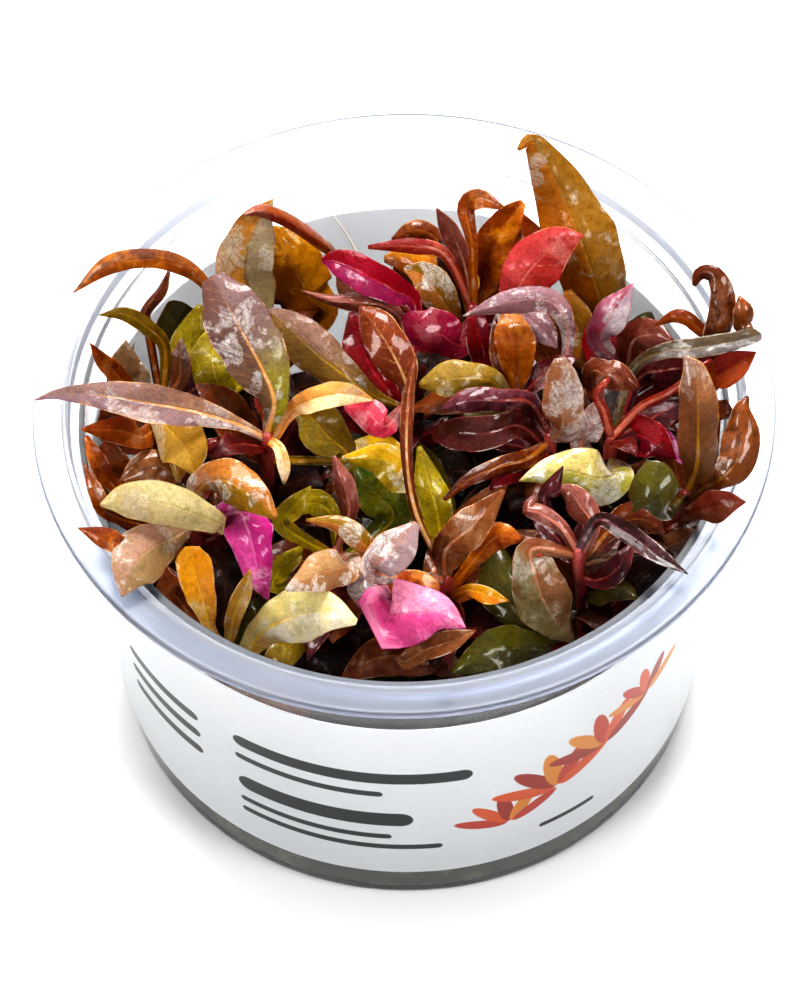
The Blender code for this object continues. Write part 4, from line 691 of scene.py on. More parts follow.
class Wire:
    """A socket that a value leaves by. Python's operators on it add Math nodes."""

    def __init__(self, shading, socket):
        self.shading = shading
        self.socket = socket

    def math(self, operation, *values):
        inputs = dict(enumerate(values))
        return self.shading.node("ShaderNodeMath", {"operation": operation}, inputs)

    def __add__(self, other):
        return self.math("ADD", self, other)

    def __radd__(self, other):
        return self.math("ADD", other, self)

    def __sub__(self, other):
        return self.math("SUBTRACT", self, other)

    def __rsub__(self, other):
        return self.math("SUBTRACT", other, self)

    def __mul__(self, other):
        return self.math("MULTIPLY", self, other)

    def __rmul__(self, other):
        return self.math("MULTIPLY", other, self)

    def __truediv__(self, other):
        return self.math("DIVIDE", self, other)

    def __rtruediv__(self, other):
        return self.math("DIVIDE", other, self)

    def __pow__(self, other):
        return self.math("POWER", self, other)

    def __abs__(self):
        return self.math("ABSOLUTE", self)

    def least(self, other):
        return self.math("MINIMUM", self, other)

    def most(self, other):
        return self.math("MAXIMUM", self, other)

    def fraction(self):
        return self.math("FRACT", self)

    def rise(self, low, high):
        """0 below low, 1 above high and a smooth step between them. Low may be the larger."""
        settings = {"interpolation_type": "SMOOTHSTEP"}
        if isinstance(low, Wire) or isinstance(high, Wire) or low < high:
            inputs = {"Value": self, "From Min": low, "From Max": high}
            return self.shading.node("ShaderNodeMapRange", settings, inputs)
        inputs = {"Value": self, "From Min": high, "From Max": low}
        return 1.0 - self.shading.node("ShaderNodeMapRange", settings, inputs)


class Shading:
    """A material under construction."""

    def __init__(self, name):
        self.material = bpy.data.materials.new(name)
        self.material.use_nodes = True
        self.tree = self.material.node_tree
        self.shader = self.tree.nodes["Principled BSDF"]

    def node(self, kind, settings=None, inputs=None, out=0):
        """Adds a node, sets it, gives its sockets values or links, and returns one output."""
        made = self.tree.nodes.new(kind)
        for name, value in (settings or {}).items():
            setattr(made, name, value)
        for name, value in (inputs or {}).items():
            self.give(made.inputs[name], value)
        return Wire(self, made.outputs[out])

    def give(self, socket, value):
        if isinstance(value, Wire):
            self.tree.links.new(value.socket, socket)
        elif isinstance(value, tuple) and len(value) == 3 and socket.type == "RGBA":
            socket.default_value = (*value, 1.0)
        else:
            socket.default_value = value

    def blend(self, factor, first, second):
        """The first colour where the factor is 0, the second where it is 1."""
        inputs = {0: factor, 6: first, 7: second}
        return self.node("ShaderNodeMix", {"data_type": "RGBA"}, inputs, 2)

    def split(self, vector):
        parts = self.node("ShaderNodeSeparateXYZ", None, {0: vector})
        outputs = parts.socket.node.outputs
        return [Wire(self, outputs[i]) for i in range(3)]

    def join(self, x, y, z):
        return self.node("ShaderNodeCombineXYZ", None, {0: x, 1: y, 2: z})

    def attribute(self, name):
        return self.node("ShaderNodeAttribute", {"attribute_name": name}, None, "Vector")

    def place(self):
        """Places on the object, in millimetres."""
        spot_on = self.node("ShaderNodeTexCoord", None, None, "Object")
        return self.scaled(spot_on, 1.0 / MM)

    def scaled(self, vector, factor):
        settings = {"operation": "SCALE"}
        return self.node("ShaderNodeVectorMath", settings, {0: vector, "Scale": factor})

    def noise(self, vector, scale, detail=2.0, roughness=0.5):
        inputs = {"Vector": vector, "Scale": scale, "Detail": detail, "Roughness": roughness}
        return self.node("ShaderNodeTexNoise", None, inputs)

    def cell_edges(self, vector, scale):
        """How far a place lies from the edge of its cell."""
        inputs = {"Vector": vector, "Scale": scale}
        return self.node("ShaderNodeTexVoronoi", {"feature": "DISTANCE_TO_EDGE"}, inputs)

    def bump(self, height, distance, strength=1.0):
        inputs = {"Height": height, "Distance": distance, "Strength": strength}
        return self.node("ShaderNodeBump", None, inputs)

    def surface(self, **values):
        """Sets the shader's sockets, named with underscores for their blanks."""
        for name, value in values.items():
            self.give(self.shader.inputs[name.replace("_", " ")], value)
        return self.material


# Materials

# A leaf's finish: the slant of its side veins, the tints of its painted sheen and of the painted
# glints on its wet rib and margin, how dark its specks are, its underside, and how deep and rich
# water makes its colours
VEIN_SLANT = 1.15
PAINTED_SHEEN_TINT = paint("DAD4D0")
PAINTED_GLINT = paint("F4E6D8")
SPECK = 0.35
UNDER_TINT = (0.85, 0.45, 0.50)
DEPTH = 0.97
RICHNESS = 1.3

# The noises that mottle a leaf, in spots to a millimetre
BROAD, MIDDLE, FINE, RAGGED = 0.15, 0.8, 2.6, 0.34


def deep(colour):
    """The colour of a wet blade: darker and richer than that of a dry one."""
    grey = sum(colour) / 3
    return tuple(max(grey + (c - grey) * RICHNESS, 0.003) * DEPTH for c in colour)


def leaf_material(name, look, vein_step):
    """A wet leaf: colour along it, patches, midrib, side veins, margin, painted sheen, painted
    glints and underside.
    """
    near, far, left, patch, rib_ink = (deep(paint(code)) for code in look.inks.split())
    dark = tuple(c * SPECK for c in far)
    shading = Shading(name)
    along, across, half = shading.split(shading.attribute("blade"))
    share, seed, under = shading.split(shading.attribute("leaf"))
    place = shading.join(along + seed * 97.0, across, under * 9.0 + seed * 53.0)
    broad = shading.noise(place, BROAD, 3.0, 0.6)
    middle = shading.noise(place, MIDDLE, 3.0, 0.65)
    fine = shading.noise(place, FINE, 3.0, 0.65)
    ragged = shading.noise(place, RAGGED, 6.0, 0.62)
    bent = shading.join(along * 0.8 + seed * 97.0 + middle * 2.0, across + fine, seed * 53.0)
    net = shading.cell_edges(bent, 1.25).rise(0.10, 0.0)
    off = abs(across)
    colour = shading.blend((share + (broad - 0.5) * 0.7).rise(0.10, 0.70), near, far)
    # The left half's ink is partly the leaf's own second colour and partly painted light and shade
    # of a half that faces the lamps differently
    side = (across / half + (middle - 0.5) * 0.3).rise(0.10, -0.10)
    colour = shading.blend(side * 0.8, colour, left)
    blotch = (broad * 0.7 + middle * 0.3).rise(0.46, 0.62)
    colour = shading.blend(blotch * 0.6, colour, patch)
    colour = shading.blend(middle.rise(0.52, 0.30) * 0.4, colour, dark)
    pits = (fine + (middle - 0.5) * 0.5).rise(0.54, 0.66)
    colour = shading.blend(pits * 0.22, colour, dark)
    vein = (along - off * VEIN_SLANT) / vein_step + (middle - 0.5) * 0.9
    line = abs(vein.fraction() - 0.5)
    veins = line.rise(0.06, 0.0) * (off / half).rise(0.9, 0.4) * (middle + fine).rise(0.8, 1.2)
    # Painted sheen: pale patches, broken by the crackle, that stand in for the lamps' reflection on
    # the wet blade
    painted_sheen_zone = (broad - 0.60 + look.bloom * 0.17) * 4.0 + (ragged - 0.5) * 1.1 + (fine - 0.5) * 0.5
    bloom = painted_sheen_zone.rise(0.0, 0.12) * 0.7 + painted_sheen_zone.rise(0.0, 0.7) * 0.3
    slant = shading.join((along - off * VEIN_SLANT) * 2.2 + seed * 97.0, across * 0.6, fine)
    threads = shading.noise(slant, 1.0, 4.0, 0.75)
    crackle = (1.0 - net * 0.5) * (threads.rise(0.38, 0.52) * 0.8 + 0.2)
    colour = shading.blend(bloom * crackle * min(look.bloom * 1.2, 0.85), colour, PAINTED_SHEEN_TINT)
    colour = shading.blend(net * 0.25, colour, dark)
    colour = shading.blend(veins * 0.45, colour, rib_ink)
    rib_half = (1.0 - share) * 0.34 + 0.05
    rib = (off / rib_half).rise(1.3, 0.6) * (share + (middle - 0.5) * 0.7).rise(1.0, 0.3)
    colour = shading.blend(rib * 0.75, colour, rib_ink)
    margin = (half - off).rise(0.20, 0.06) * half.rise(0.6, 1.1)
    rim = shading.blend((broad + (fine - 0.5) * 0.3).rise(0.46, 0.54), dark, rib_ink)
    colour = shading.blend(margin * 0.6, colour, rim)
    # Painted glints: bright streaks along the wet midrib and margin that stand in for highlights
    painted_glint = (rib * 0.8).most(margin) * (ragged * 0.8 + fine * 0.2).rise(0.50, 0.62)
    colour = shading.blend(painted_glint * (look.wet * 0.6), colour, PAINTED_GLINT)
    below = shading.blend(middle.rise(0.3, 0.7) * 0.6,
                          tuple(c * t for c, t in zip(near, UNDER_TINT)), near)
    below = shading.blend((rib + veins * 0.5).least(1.0) * 0.8, below, rib_ink)
    colour = shading.blend(under.rise(0.4, 0.6), colour, below)
    wet = (broad * 0.5 + middle * 0.5).rise(0.52 - look.wet * 0.24, 0.74 - look.wet * 0.24)
    # The crackle stays out of the height, where it doesn't show and adds half to a render's time
    height = middle * 0.6 + fine * 0.15 + threads * 0.2 - veins * 0.2 - rib * 0.4
    roughness = 0.40 - wet * 0.10 + (fine - 0.5) * 0.2
    return shading.surface(
        Base_Color=colour, Roughness=roughness, Coat_Weight=wet, Coat_Roughness=0.09,
        Coat_IOR=1.4, Specular_IOR_Level=0.16, Subsurface_Weight=0.3,
        Subsurface_Radius=(1.0, 0.40, 0.12), Subsurface_Scale=0.5 * MM,
        Normal=shading.bump(height, 0.36 * MM, 0.9))


# A stem's colour at its foot, at its top and in its streaks
STEM_LOW = paint("781824")
STEM_HIGH = paint("B85048")
STEM_PINK = paint("D08070")


def stem_material():
    """A glossy stem, deep red below and orange pink towards its top."""
    shading = Shading("wet stem")
    along, across = shading.split(shading.attribute("blade"))[:2]
    share, seed = shading.split(shading.attribute("leaf"))[:2]
    place = shading.join(along * 0.25, across, seed * 71.0)
    streaks = shading.noise(place, 2.2, 3.0, 0.6)
    mottle = shading.noise(shading.place(), 0.5, 3.0, 0.6)
    colour = shading.blend((share + (mottle - 0.5) * 0.2).rise(0.62, 1.0), STEM_LOW, STEM_HIGH)
    colour = shading.blend(streaks.rise(0.52, 0.7) * 0.5, colour, STEM_PINK)
    grain = shading.noise(shading.place(), 5.0, 2.0, 0.5)
    return shading.surface(
        Base_Color=colour, Roughness=0.28 + (grain - 0.5) * 0.2, Coat_Weight=mottle.rise(0.3, 0.5),
        Coat_Roughness=0.06, Subsurface_Weight=0.3, Subsurface_Radius=(1.0, 0.3, 0.2),
        Subsurface_Scale=0.8 * MM, Normal=shading.bump(streaks + grain * 0.4, 0.12 * MM, 0.7))


# The flange's clear plastic, the painted shade on its front and its moulded rings
FLANGE_TINT = (0.83, 0.86, 0.91)
FLANGE_FRONT_SHADE = (0.40, 0.46, 0.60)
FLANGE_RING = (0.48, 0.51, 0.60)


def plastic_material(settings):
    """Clear moulded plastic with a faint haze and smears, and painted shade on the front of its
    flange.
    """
    shading = Shading("clear plastic")
    place = shading.place()
    haze = shading.noise(place, 0.10, 3.0, 0.6)
    smears = (shading.noise(place, 0.3, 4.0, 0.7) + (haze - 0.5) * 0.5).rise(0.58, 0.74)
    x, y, height = shading.split(place)
    flange = height.rise(CUP_HEIGHT - LEDGE_DEPTH - 1.5, CUP_HEIGHT - LEDGE_DEPTH)
    roughness = settings.roughness + (haze - 0.5) * 0.04 + smears * 0.08 + flange * 0.3
    # Painted shade: the flange darkens to a blue-grey towards the front, mottled by the haze
    front_shade_and_haze = (haze * 0.5 - y * 0.02).rise(0.2, 1.1)
    radius = (x * x + y * y) ** 0.5
    edge = (abs(radius - RIM_RADIUS)).rise(1.3, 0.5)
    step = (abs(radius - LEDGE_RADIUS - 0.4)).rise(0.8, 0.3)
    lines = abs((radius * 0.8).fraction() - 0.5).rise(0.10, 0.02) * 0.5
    rings = edge.most(step * 0.7).most(lines) * flange
    tint = shading.blend(flange, tuple(settings.tint),
                         shading.blend(front_shade_and_haze, FLANGE_TINT, FLANGE_FRONT_SHADE))
    tint = shading.blend(rings, tint, FLANGE_RING)
    return shading.surface(
        Base_Color=tint, Roughness=roughness.most(0.02), IOR=1.40,
        Transmission_Weight=0.95, Specular_IOR_Level=0.35,
        Normal=shading.bump(haze, 0.02 * MM, 0.2))


def gel_material():
    """Cloudy growth gel, grey olive, with denser clouds."""
    shading = Shading("growth gel")
    place = shading.place()
    clouds = shading.noise(place, 0.12, 4.0, 0.6)
    grit = shading.noise(place, 1.4, 3.0, 0.6)
    colour = shading.blend(clouds.rise(0.35, 0.65), paint("302E12"), paint("4A4820"))
    colour = shading.blend(grit.rise(0.60, 0.72) * 0.4, colour, paint("625E38"))
    return shading.surface(
        Base_Color=colour, Roughness=0.16 + clouds * 0.2, IOR=1.34, Transmission_Weight=0.1,
        Subsurface_Weight=0.4, Subsurface_Radius=(1.0, 0.95, 0.8), Subsurface_Scale=3.0 * MM,
        Normal=shading.bump(clouds + grit * 0.2, 0.4 * MM, 0.5))


def root_material():
    shading = Shading("white root")
    place = shading.place()
    dirt = shading.noise(place, 0.4, 3.0, 0.6)
    colour = shading.blend(dirt.rise(0.5, 0.75) * 0.6, (0.72, 0.66, 0.56), (0.42, 0.27, 0.14))
    return shading.surface(
        Base_Color=colour, Roughness=0.35 + dirt * 0.2, Subsurface_Weight=0.3,
        Subsurface_Radius=(1.0, 0.8, 0.6), Subsurface_Scale=0.5 * MM,
        Normal=shading.bump(shading.noise(place, 6.0), 0.05 * MM, 0.6))


def water_material():
    shading = Shading("water")
    ripple = shading.noise(shading.place(), 1.0, 1.0, 0.5)
    return shading.surface(
        Base_Color=(1.0, 1.0, 1.0), Roughness=0.01 + ripple * 0.02, IOR=1.333,
        Transmission_Weight=1.0)


# The label's generic print, in millimetres round the film and above the table
Bar = namedtuple("Bar", "left right middle height")
BARS = (
    Bar(-46.0, -31.0, 34.0, 2.0), Bar(-46.0, -31.0, 29.5, 2.0), Bar(-46.0, -31.0, 25.0, 2.0),
    Bar(-25.0, 8.0, 35.2, 2.8), Bar(-25.0, -4.0, 30.8, 1.4), Bar(-25.0, 0.0, 23.6, 3.6),
    Bar(-25.0, -3.0, 18.7, 1.3), Bar(-25.0, 4.0, 15.7, 1.3), Bar(18.0, 27.0, 14.2, 1.1),
)
# Fans of plain ovals: each fan's place round the film, height and size, and the tilts of its
# ovals in degrees
Oval = namedtuple("Oval", "round height length width tilt ink")
FAN_INKS = ("A0301A", "B84818", "84220F", "BC7424")
FANS = ((13.5, 18.5, 1.3), (20.5, 23.5, 1.6), (28.0, 28.0, 1.5), (35.5, 33.0, 1.2))
FAN_TILTS = (-72.0, -40.0, -10.0, 22.0, 54.0)
OVAL_REACH = 3.4
OVAL_LENGTH = 3.0
OVAL_WIDTH = 0.85
OVALS = tuple(
    Oval(x + math.sin(math.radians(tilt)) * OVAL_REACH * size,
         z + math.cos(math.radians(tilt)) * OVAL_REACH * size,
         OVAL_LENGTH * size, OVAL_WIDTH * size, tilt, (fan + order) % len(FAN_INKS))
    for fan, (x, z, size) in enumerate(FANS) for order, tilt in enumerate(FAN_TILTS))
PRINT_SOFTNESS = 0.09
# Painted light: the film's inside is paler than its outside, standing in for light that comes
# through the film
LABEL_INSIDE_PAINTED_LIGHT = (0.93, 0.94, 0.95)


def label_material(settings):
    """Satin film with dark bars and a chain of plain ovals on its outside, and a paler inside
    painted to stand in for light coming through the film.
    """
    shading = Shading("label film")
    place = shading.place()
    x, y, height = shading.split(place)
    around = x.math("ARCTAN2", x, 0.0 - y) * wall_radius((LABEL_BOTTOM + LABEL_TOP) / 2)
    depth = (x * x + y * y) ** 0.5 - height * WALL_TAPER - BASE_OUTER_RADIUS - LABEL_GAP
    outside = depth.rise(LABEL_THICKNESS * 0.4, LABEL_THICKNESS * 0.6)
    paper = shading.noise(place, 0.9, 3.0, 0.6)
    film = tuple(settings.film)
    colour = shading.blend(paper.rise(0.3, 0.7) * 0.5, film, tuple(c * 0.95 for c in film))
    # The inside takes the paler colour of painted light
    colour = shading.blend(outside, LABEL_INSIDE_PAINTED_LIGHT, colour)
    ink = None
    for bar in BARS:
        mid, half = (bar.left + bar.right) / 2, (bar.right - bar.left) / 2
        radius = bar.height / 2
        reach = (abs(around - mid) - (half - radius)).most(0.0)
        above = height - bar.middle
        spread = (reach * reach + above * above) ** 0.5
        mask = spread.rise(radius + PRINT_SOFTNESS, radius - PRINT_SOFTNESS)
        ink = mask if ink is None else ink.most(mask)
    colour = shading.blend(ink * outside, colour, tuple(settings.ink))
    for oval in OVALS:
        turn = math.radians(oval.tilt)
        x, y = around - oval.round, height - oval.height
        u = (x * math.cos(turn) - y * math.sin(turn)) / oval.width
        v = (y * math.cos(turn) + x * math.sin(turn)) / oval.length
        mask = (u * u + v * v).rise(1.12, 0.9) * outside
        colour = shading.blend(mask, colour, paint(FAN_INKS[oval.ink]))
    return shading.surface(
        Base_Color=colour, Roughness=0.40 + (paper - 0.5) * 0.1, Coat_Weight=0.1,
        Coat_Roughness=0.12, Specular_IOR_Level=0.3, Subsurface_Weight=0.7,
        Subsurface_Radius=(1.0, 1.0, 1.0), Subsurface_Scale=2.0 * MM,
        Normal=shading.bump(paper, 0.03 * MM, 0.4))


# Places in the view

def unit(vectors):
    return vectors / np.linalg.norm(vectors, axis=-1, keepdims=True)


def view_axes():
    forward = np.array((0.0, math.cos(VIEW_ELEVATION), -math.sin(VIEW_ELEVATION)))
    level = np.array((1.0, 0.0, 0.0))
    upward = np.cross(level, forward)
    across = math.cos(VIEW_ROLL) * level + math.sin(VIEW_ROLL) * upward
    down = math.sin(VIEW_ROLL) * level - math.cos(VIEW_ROLL) * upward
    eye = np.array(VIEW_AIM) - VIEW_DISTANCE * forward
    return forward, across, down, eye


FORWARD, ACROSS, DOWN, EYE = view_axes()


def spot(across, down, height):
    """The point in mm that is seen at (across, down) and lies at a height above the table."""
    ray = (VIEW_FOCAL * FORWARD + (across - VIEW_MIDDLE[0]) * ACROSS
           + (down - VIEW_MIDDLE[1]) * DOWN)
    return EYE + ray * (height - EYE[2]) / ray[2]


def smooth_path(points, samples):
    """A Catmull-Rom curve through rows of numbers, sampled evenly between stations."""
    rows = np.array(points, dtype=float)
    rows = np.vstack([2 * rows[0] - rows[1], rows, 2 * rows[-1] - rows[-2]])
    position = np.linspace(0.0, len(rows) - 3, samples)
    span = np.minimum(position.astype(int), len(rows) - 4)
    t = (position - span)[:, None]
    a, b, c, d = (rows[span + i] for i in range(4))
    return 0.5 * (2 * b + (c - a) * t + (2 * a - 5 * b + 4 * c - d) * t * t
                  + (3 * b - a - 3 * c + d) * t ** 3)


def lengths(points):
    """How far along its line each point lies."""
    steps = np.linalg.norm(np.diff(points[:, :3], axis=0), axis=1)
    return np.concatenate([[0.0], np.cumsum(steps)])


def even_rows(rows, count):
    """Rows at equal distances along the curve that the first three columns draw."""
    along = lengths(rows)
    wanted = np.linspace(0.0, along[-1], count)
    return np.array([np.interp(wanted, along, column) for column in rows.T]).T


def stem_points(stem):
    """The centre line of a stem in mm: straight up out of the gel, then over to its top."""
    x, y = stem.foot
    top = spot(*stem.top[:3])
    low = GEL_TOP - SOCKET_DEPTH
    above = GEL_TOP + STEM_UPRIGHT
    middle = ((x + top[0]) / 2, (y + top[1]) / 2, (above + top[2]) / 2)
    return smooth_path([(x, y, low), (x, y, above), middle, top], 40)


def stem_at(stem, height):
    """The point on a stem's centre line at a height."""
    line = stem_points(stem)
    return np.array([np.interp(height, line[:, 2], line[:, i]) for i in range(3)])


def leaf_rows(leaf, stem, step):
    """Centre, full width and turn at each ring of a leaf, from inside its stem to its tip."""
    root = stem_at(stem, leaf.root)
    widths = [PETIOLE_WIDTH] + [max(station.width, TIP_WIDTH) for station in leaf.stations]
    turns = np.linspace(leaf.turn[0], leaf.turn[1], len(widths))
    places = [root] + [spot(*station[:3]) for station in leaf.stations]
    rows = [(*place, width, turn) for place, width, turn in zip(places, widths, turns)]
    dense = smooth_path(rows, 30 * len(rows))
    dense[:, 3] = np.maximum(dense[:, 3], TIP_WIDTH)
    count = int(min(max(lengths(dense)[-1] / step, 14), 76))
    return even_rows(dense, count)


# Meshes

class Sheaf:
    """Closed shells gathered into one mesh, with what the materials read at each point."""

    def __init__(self):
        self.points, self.faces, self.slots = [], [], []
        self.blades, self.leaves = [], []
        self.count = 0

    def add(self, points, faces, blade, leaf, slot):
        self.points.append(points)
        self.faces.append(np.asarray(faces) + self.count)
        self.slots.append(np.full(len(faces), slot))
        self.blades.append(blade)
        self.leaves.append(leaf)
        self.count += len(points)

    def mesh(self, name):
        mesh = bpy.data.meshes.new(name)
        points = np.concatenate(self.points) * MM
        faces = [row for block in self.faces for row in block.tolist()]
        faces = [row[:3] if row[-1] == row[-2] else row for row in faces]
        mesh.from_pydata(points.tolist(), [], faces)
        mesh.polygons.foreach_set("material_index", np.concatenate(self.slots).astype(int))
        for title, rows in (("blade", self.blades), ("leaf", self.leaves)):
            attribute = mesh.attributes.new(title, "FLOAT_VECTOR", "POINT")
            attribute.data.foreach_set("vector", np.concatenate(rows).astype(np.float32).ravel())
        mesh.shade_smooth()
        mesh.update()
        return mesh


def shell_faces(rings, columns):
    """Quads of a closed shell over two grids, the upper first, wound so that they face out."""
    i, j = np.meshgrid(np.arange(rings - 1), np.arange(columns - 1), indexing="ij")
    low = (i * columns + j).ravel()
    high = low + columns
    under = rings * columns
    faces = [np.stack([low, low + 1, high + 1, high], 1),
             np.stack([low, high, high + 1, low + 1], 1) + under]
    left = np.arange(rings - 1) * columns
    right = left + columns - 1
    faces.append(np.stack([left, left + columns, left + columns + under, left + under], 1))
    faces.append(np.stack([right + columns, right, right + under, right + columns + under], 1))
    base = np.arange(columns - 1)
    tip = base + (rings - 1) * columns
    faces.append(np.stack([base + 1, base, base + under, base + 1 + under], 1))
    faces.append(np.stack([tip, tip + 1, tip + 1 + under, tip + under], 1))
    return np.concatenate(faces)


def frames_in_view(rows):
    """Side and face directions of a leaf's rings: flat to the view, then rolled by the turn."""
    centres = rows[:, :3]
    tangents = unit(np.gradient(centres, axis=0))
    side = unit(np.cross(tangents, unit(EYE - centres)))
    face = np.cross(side, tangents)
    turn = np.radians(rows[:, 4])[:, None]
    return (side * np.cos(turn) + face * np.sin(turn),
            face * np.cos(turn) - side * np.sin(turn))


def leaf_shell(rows, side, face, fold, settings, columns, rng):
    """Points, blade and leaf attributes of a leaf's two faces in mm."""
    centres = rows[:, :3]
    along = lengths(rows)
    u = (along / along[-1])[:, None]
    half = rows[:, 3][:, None] / 2
    v = np.sin(np.linspace(-1, 1, columns) * math.pi / 2)[None]
    # A section like a V where the edges rise, and more like a bow where they hang
    angle = math.radians(fold)
    power = 1.05 if fold > 0 else 1.4
    out = half * v * math.cos(angle)
    lift = half * np.abs(v) ** power * math.sin(angle)
    # A ragged, wavy margin and a wavy blade, neither of them on the stalk
    body = np.clip((half - 0.7) / 1.2, 0, 1)
    phases = rng.uniform(0, 2 * math.pi, 8)
    ragged = np.where(v < 0, np.sin(u * 19.0 + phases[4]) + np.sin(u * 41.0 + phases[6]) * 0.6,
                      np.sin(u * 17.0 + phases[5]) + np.sin(u * 37.0 + phases[7]) * 0.6)
    out = out * (1 + LEAF_RAGGEDNESS * ragged * np.abs(v) ** 2 * body)
    waves = rng.uniform(1.4, 2.8)
    sway = np.where(v < 0, np.sin(2 * math.pi * waves * u + phases[0]),
                    np.sin(2 * math.pi * waves * 0.9 * u + phases[1]))
    lift = lift + settings.ripple / MM * sway * np.abs(v) ** 2.2 * body
    lift = lift + LEAF_LONG_WAVE * np.sin(along[:, None] * 0.55 + v * 1.6 + phases[2]) * body
    lift = lift + LEAF_SHORT_WAVE * np.sin(along[:, None] * 1.9 - v * 3.4 + phases[3]) * body
    # A swelling between each two side veins and a groove over the midrib
    across = half * v
    step = settings.vein_step / MM
    vein = (along[:, None] - np.abs(across) * VEIN_SLANT) / step
    swell = np.abs(np.sin(math.pi * vein)) ** 0.8 - 0.5
    fade = np.clip(1 - np.abs(v) ** 5, 0, 1) * np.clip(np.abs(v) * 5, 0, 1)
    lift = lift + settings.quilt / MM * swell * fade * body
    groove = np.exp(-(across / LEAF_GROOVE_HALF) ** 2)
    lift = lift - LEAF_GROOVE_DEPTH * groove * body
    # The two faces on either side of the sheet, furthest apart along the midrib
    sheet = centres[:, None] + side[:, None] * out[..., None] + face[:, None] * lift[..., None]
    normal = np.cross(np.gradient(sheet, axis=1), np.gradient(sheet, axis=0))
    normal = unit(normal + 1e-9)
    edge = np.clip(1 - np.abs(v) ** 6, 0.22, 1)
    stalk = (1 - u) * 0.34 + 0.06
    thick = settings.thickness / MM * edge + stalk * groove * np.clip(1 - np.abs(v) ** 2, 0, 1)
    thick = thick * np.clip((1 - u) * 14, 0.35, 1)
    top = sheet + normal * thick[..., None] * 0.42
    bottom = sheet - normal * thick[..., None] * 0.58
    # What the materials read: the place on the blade, then share of its length, seed and face
    seed = rng.random()
    grid = np.ones_like(across)
    blade = np.stack([along[:, None] * grid, across, half * grid], -1)
    leaf_top = np.stack([u * grid, seed * grid, 0 * grid], -1)
    leaf_low = np.stack([u * grid, seed * grid, grid], -1)
    points = np.concatenate([top.reshape(-1, 3), bottom.reshape(-1, 3)])
    blades = np.concatenate([blade.reshape(-1, 3)] * 2)
    leaves = np.concatenate([leaf_top.reshape(-1, 3), leaf_low.reshape(-1, 3)])
    return points, blades, leaves


def pressed(points):
    """A leaf's points with those beyond the cup's wall laid against its inside."""
    radius = np.maximum(np.hypot(points[:, 0], points[:, 1]), 0.01)
    height = points[:, 2]
    inside = np.where(height < CUP_HEIGHT - LEDGE_DEPTH, wall_radius(height) - WALL_THICKNESS,
                      LEDGE_RADIUS)
    limit = inside - PRESS_GAP + np.clip(height - CUP_HEIGHT - 0.3, 0, 1) * RIM_RADIUS
    share = 1 - np.maximum(radius - limit, 0) * PRESS / radius
    return points * np.stack([share, share, np.ones(len(share))], 1)


def leaf_seed(name):
    """A fixed number for a name, so that each leaf keeps its own chance form."""
    return sum((i + 1) * ord(c) for i, c in enumerate(name)) % 100003


def add_leaf(sheaf, leaf, settings, slot, columns, step):
    """Adds a leaf whose stations are given in the view, and returns its centre line."""
    rows = leaf_rows(leaf, STEM_NAMED[leaf.stem], step)
    side, face = frames_in_view(rows)
    rng = np.random.default_rng(leaf_seed(leaf.name))
    points, blades, leaves = leaf_shell(rows, side, face, leaf.fold, settings, columns, rng)
    points = pressed(points)
    sheaf.add(points, shell_faces(len(rows), columns), blades, leaves, slot)
    return rows


def turned_frames(line):
    """Two directions square to a line at each of its points, carried along without twist."""
    tangents = unit(np.gradient(line, axis=0))
    first = np.cross(tangents[0], (1.0, 0.0, 0.0))
    if np.linalg.norm(first) < 0.1:
        first = np.cross(tangents[0], (0.0, 1.0, 0.0))
    rows = [unit(first)]
    for tangent in tangents[1:]:
        rows.append(unit(rows[-1] - tangent * np.dot(rows[-1], tangent)))
    first = np.array(rows)
    return first, np.cross(tangents, first)


def tube(line, radii, sides):
    """A closed tube round a line, its faces outwards. The last index of a cap's face repeats."""
    first, second = turned_frames(line)
    angles = np.arange(sides) * 2 * math.pi / sides
    ring = (np.cos(angles)[None, :, None] * first[:, None]
            + np.sin(angles)[None, :, None] * second[:, None])
    points = (line[:, None] + ring * np.asarray(radii)[:, None, None]).reshape(-1, 3)
    points = np.vstack([points, line[:1], line[-1:]])
    rings = len(line)
    j = np.arange(sides)
    following = (j + 1) % sides
    faces = []
    for i in range(rings - 1):
        low, high = i * sides, (i + 1) * sides
        faces.append(np.stack([low + j, low + following, high + following, high + j], 1))
    foot, top = rings * sides, rings * sides + 1
    last = (rings - 1) * sides
    faces.append(np.stack([following, j, np.full(sides, foot), np.full(sides, foot)], 1))
    faces.append(np.stack([last + j, last + following, np.full(sides, top),
                           np.full(sides, top)], 1))
    return points, np.concatenate(faces), angles


def add_stem(sheaf, stem, roots, rng):
    """Adds a stem: a round tube, thicker at the heights where its leaves join."""
    line = stem_points(stem)
    line = even_rows(line[line[:, 2] < max(roots) + 1.2], 64)
    along = lengths(line)
    radii = np.full(len(line), STEM_RADIUS)
    for height in roots:
        at = np.interp(height, line[:, 2], along)
        radii += STEM_NODE_SWELL * np.exp(-((along - at) / STEM_NODE_LENGTH) ** 2)
    radii = np.minimum(radii, STEM_RADIUS + 0.2)
    radii[line[:, 2] < GEL_TOP + 1.0] = STEM_RADIUS
    radii[-5:] *= (0.96, 0.9, 0.8, 0.65, 0.4)
    points, faces, angles = tube(line, radii, STEM_SIDES)
    seed = rng.random()
    blade = np.zeros((len(points), 3))
    leaf = np.zeros((len(points), 3))
    blade[:-2, 0] = np.repeat(along, STEM_SIDES)
    blade[:-2, 1] = np.tile(np.abs(angles - math.pi), len(line))
    blade[:-2, 2] = 1.0
    leaf[:-2, 0] = np.repeat(along / along[-1], STEM_SIDES)
    leaf[-1, 0] = 1.0
    leaf[:, 1] = seed
    sheaf.add(points, faces, blade, leaf, 0)


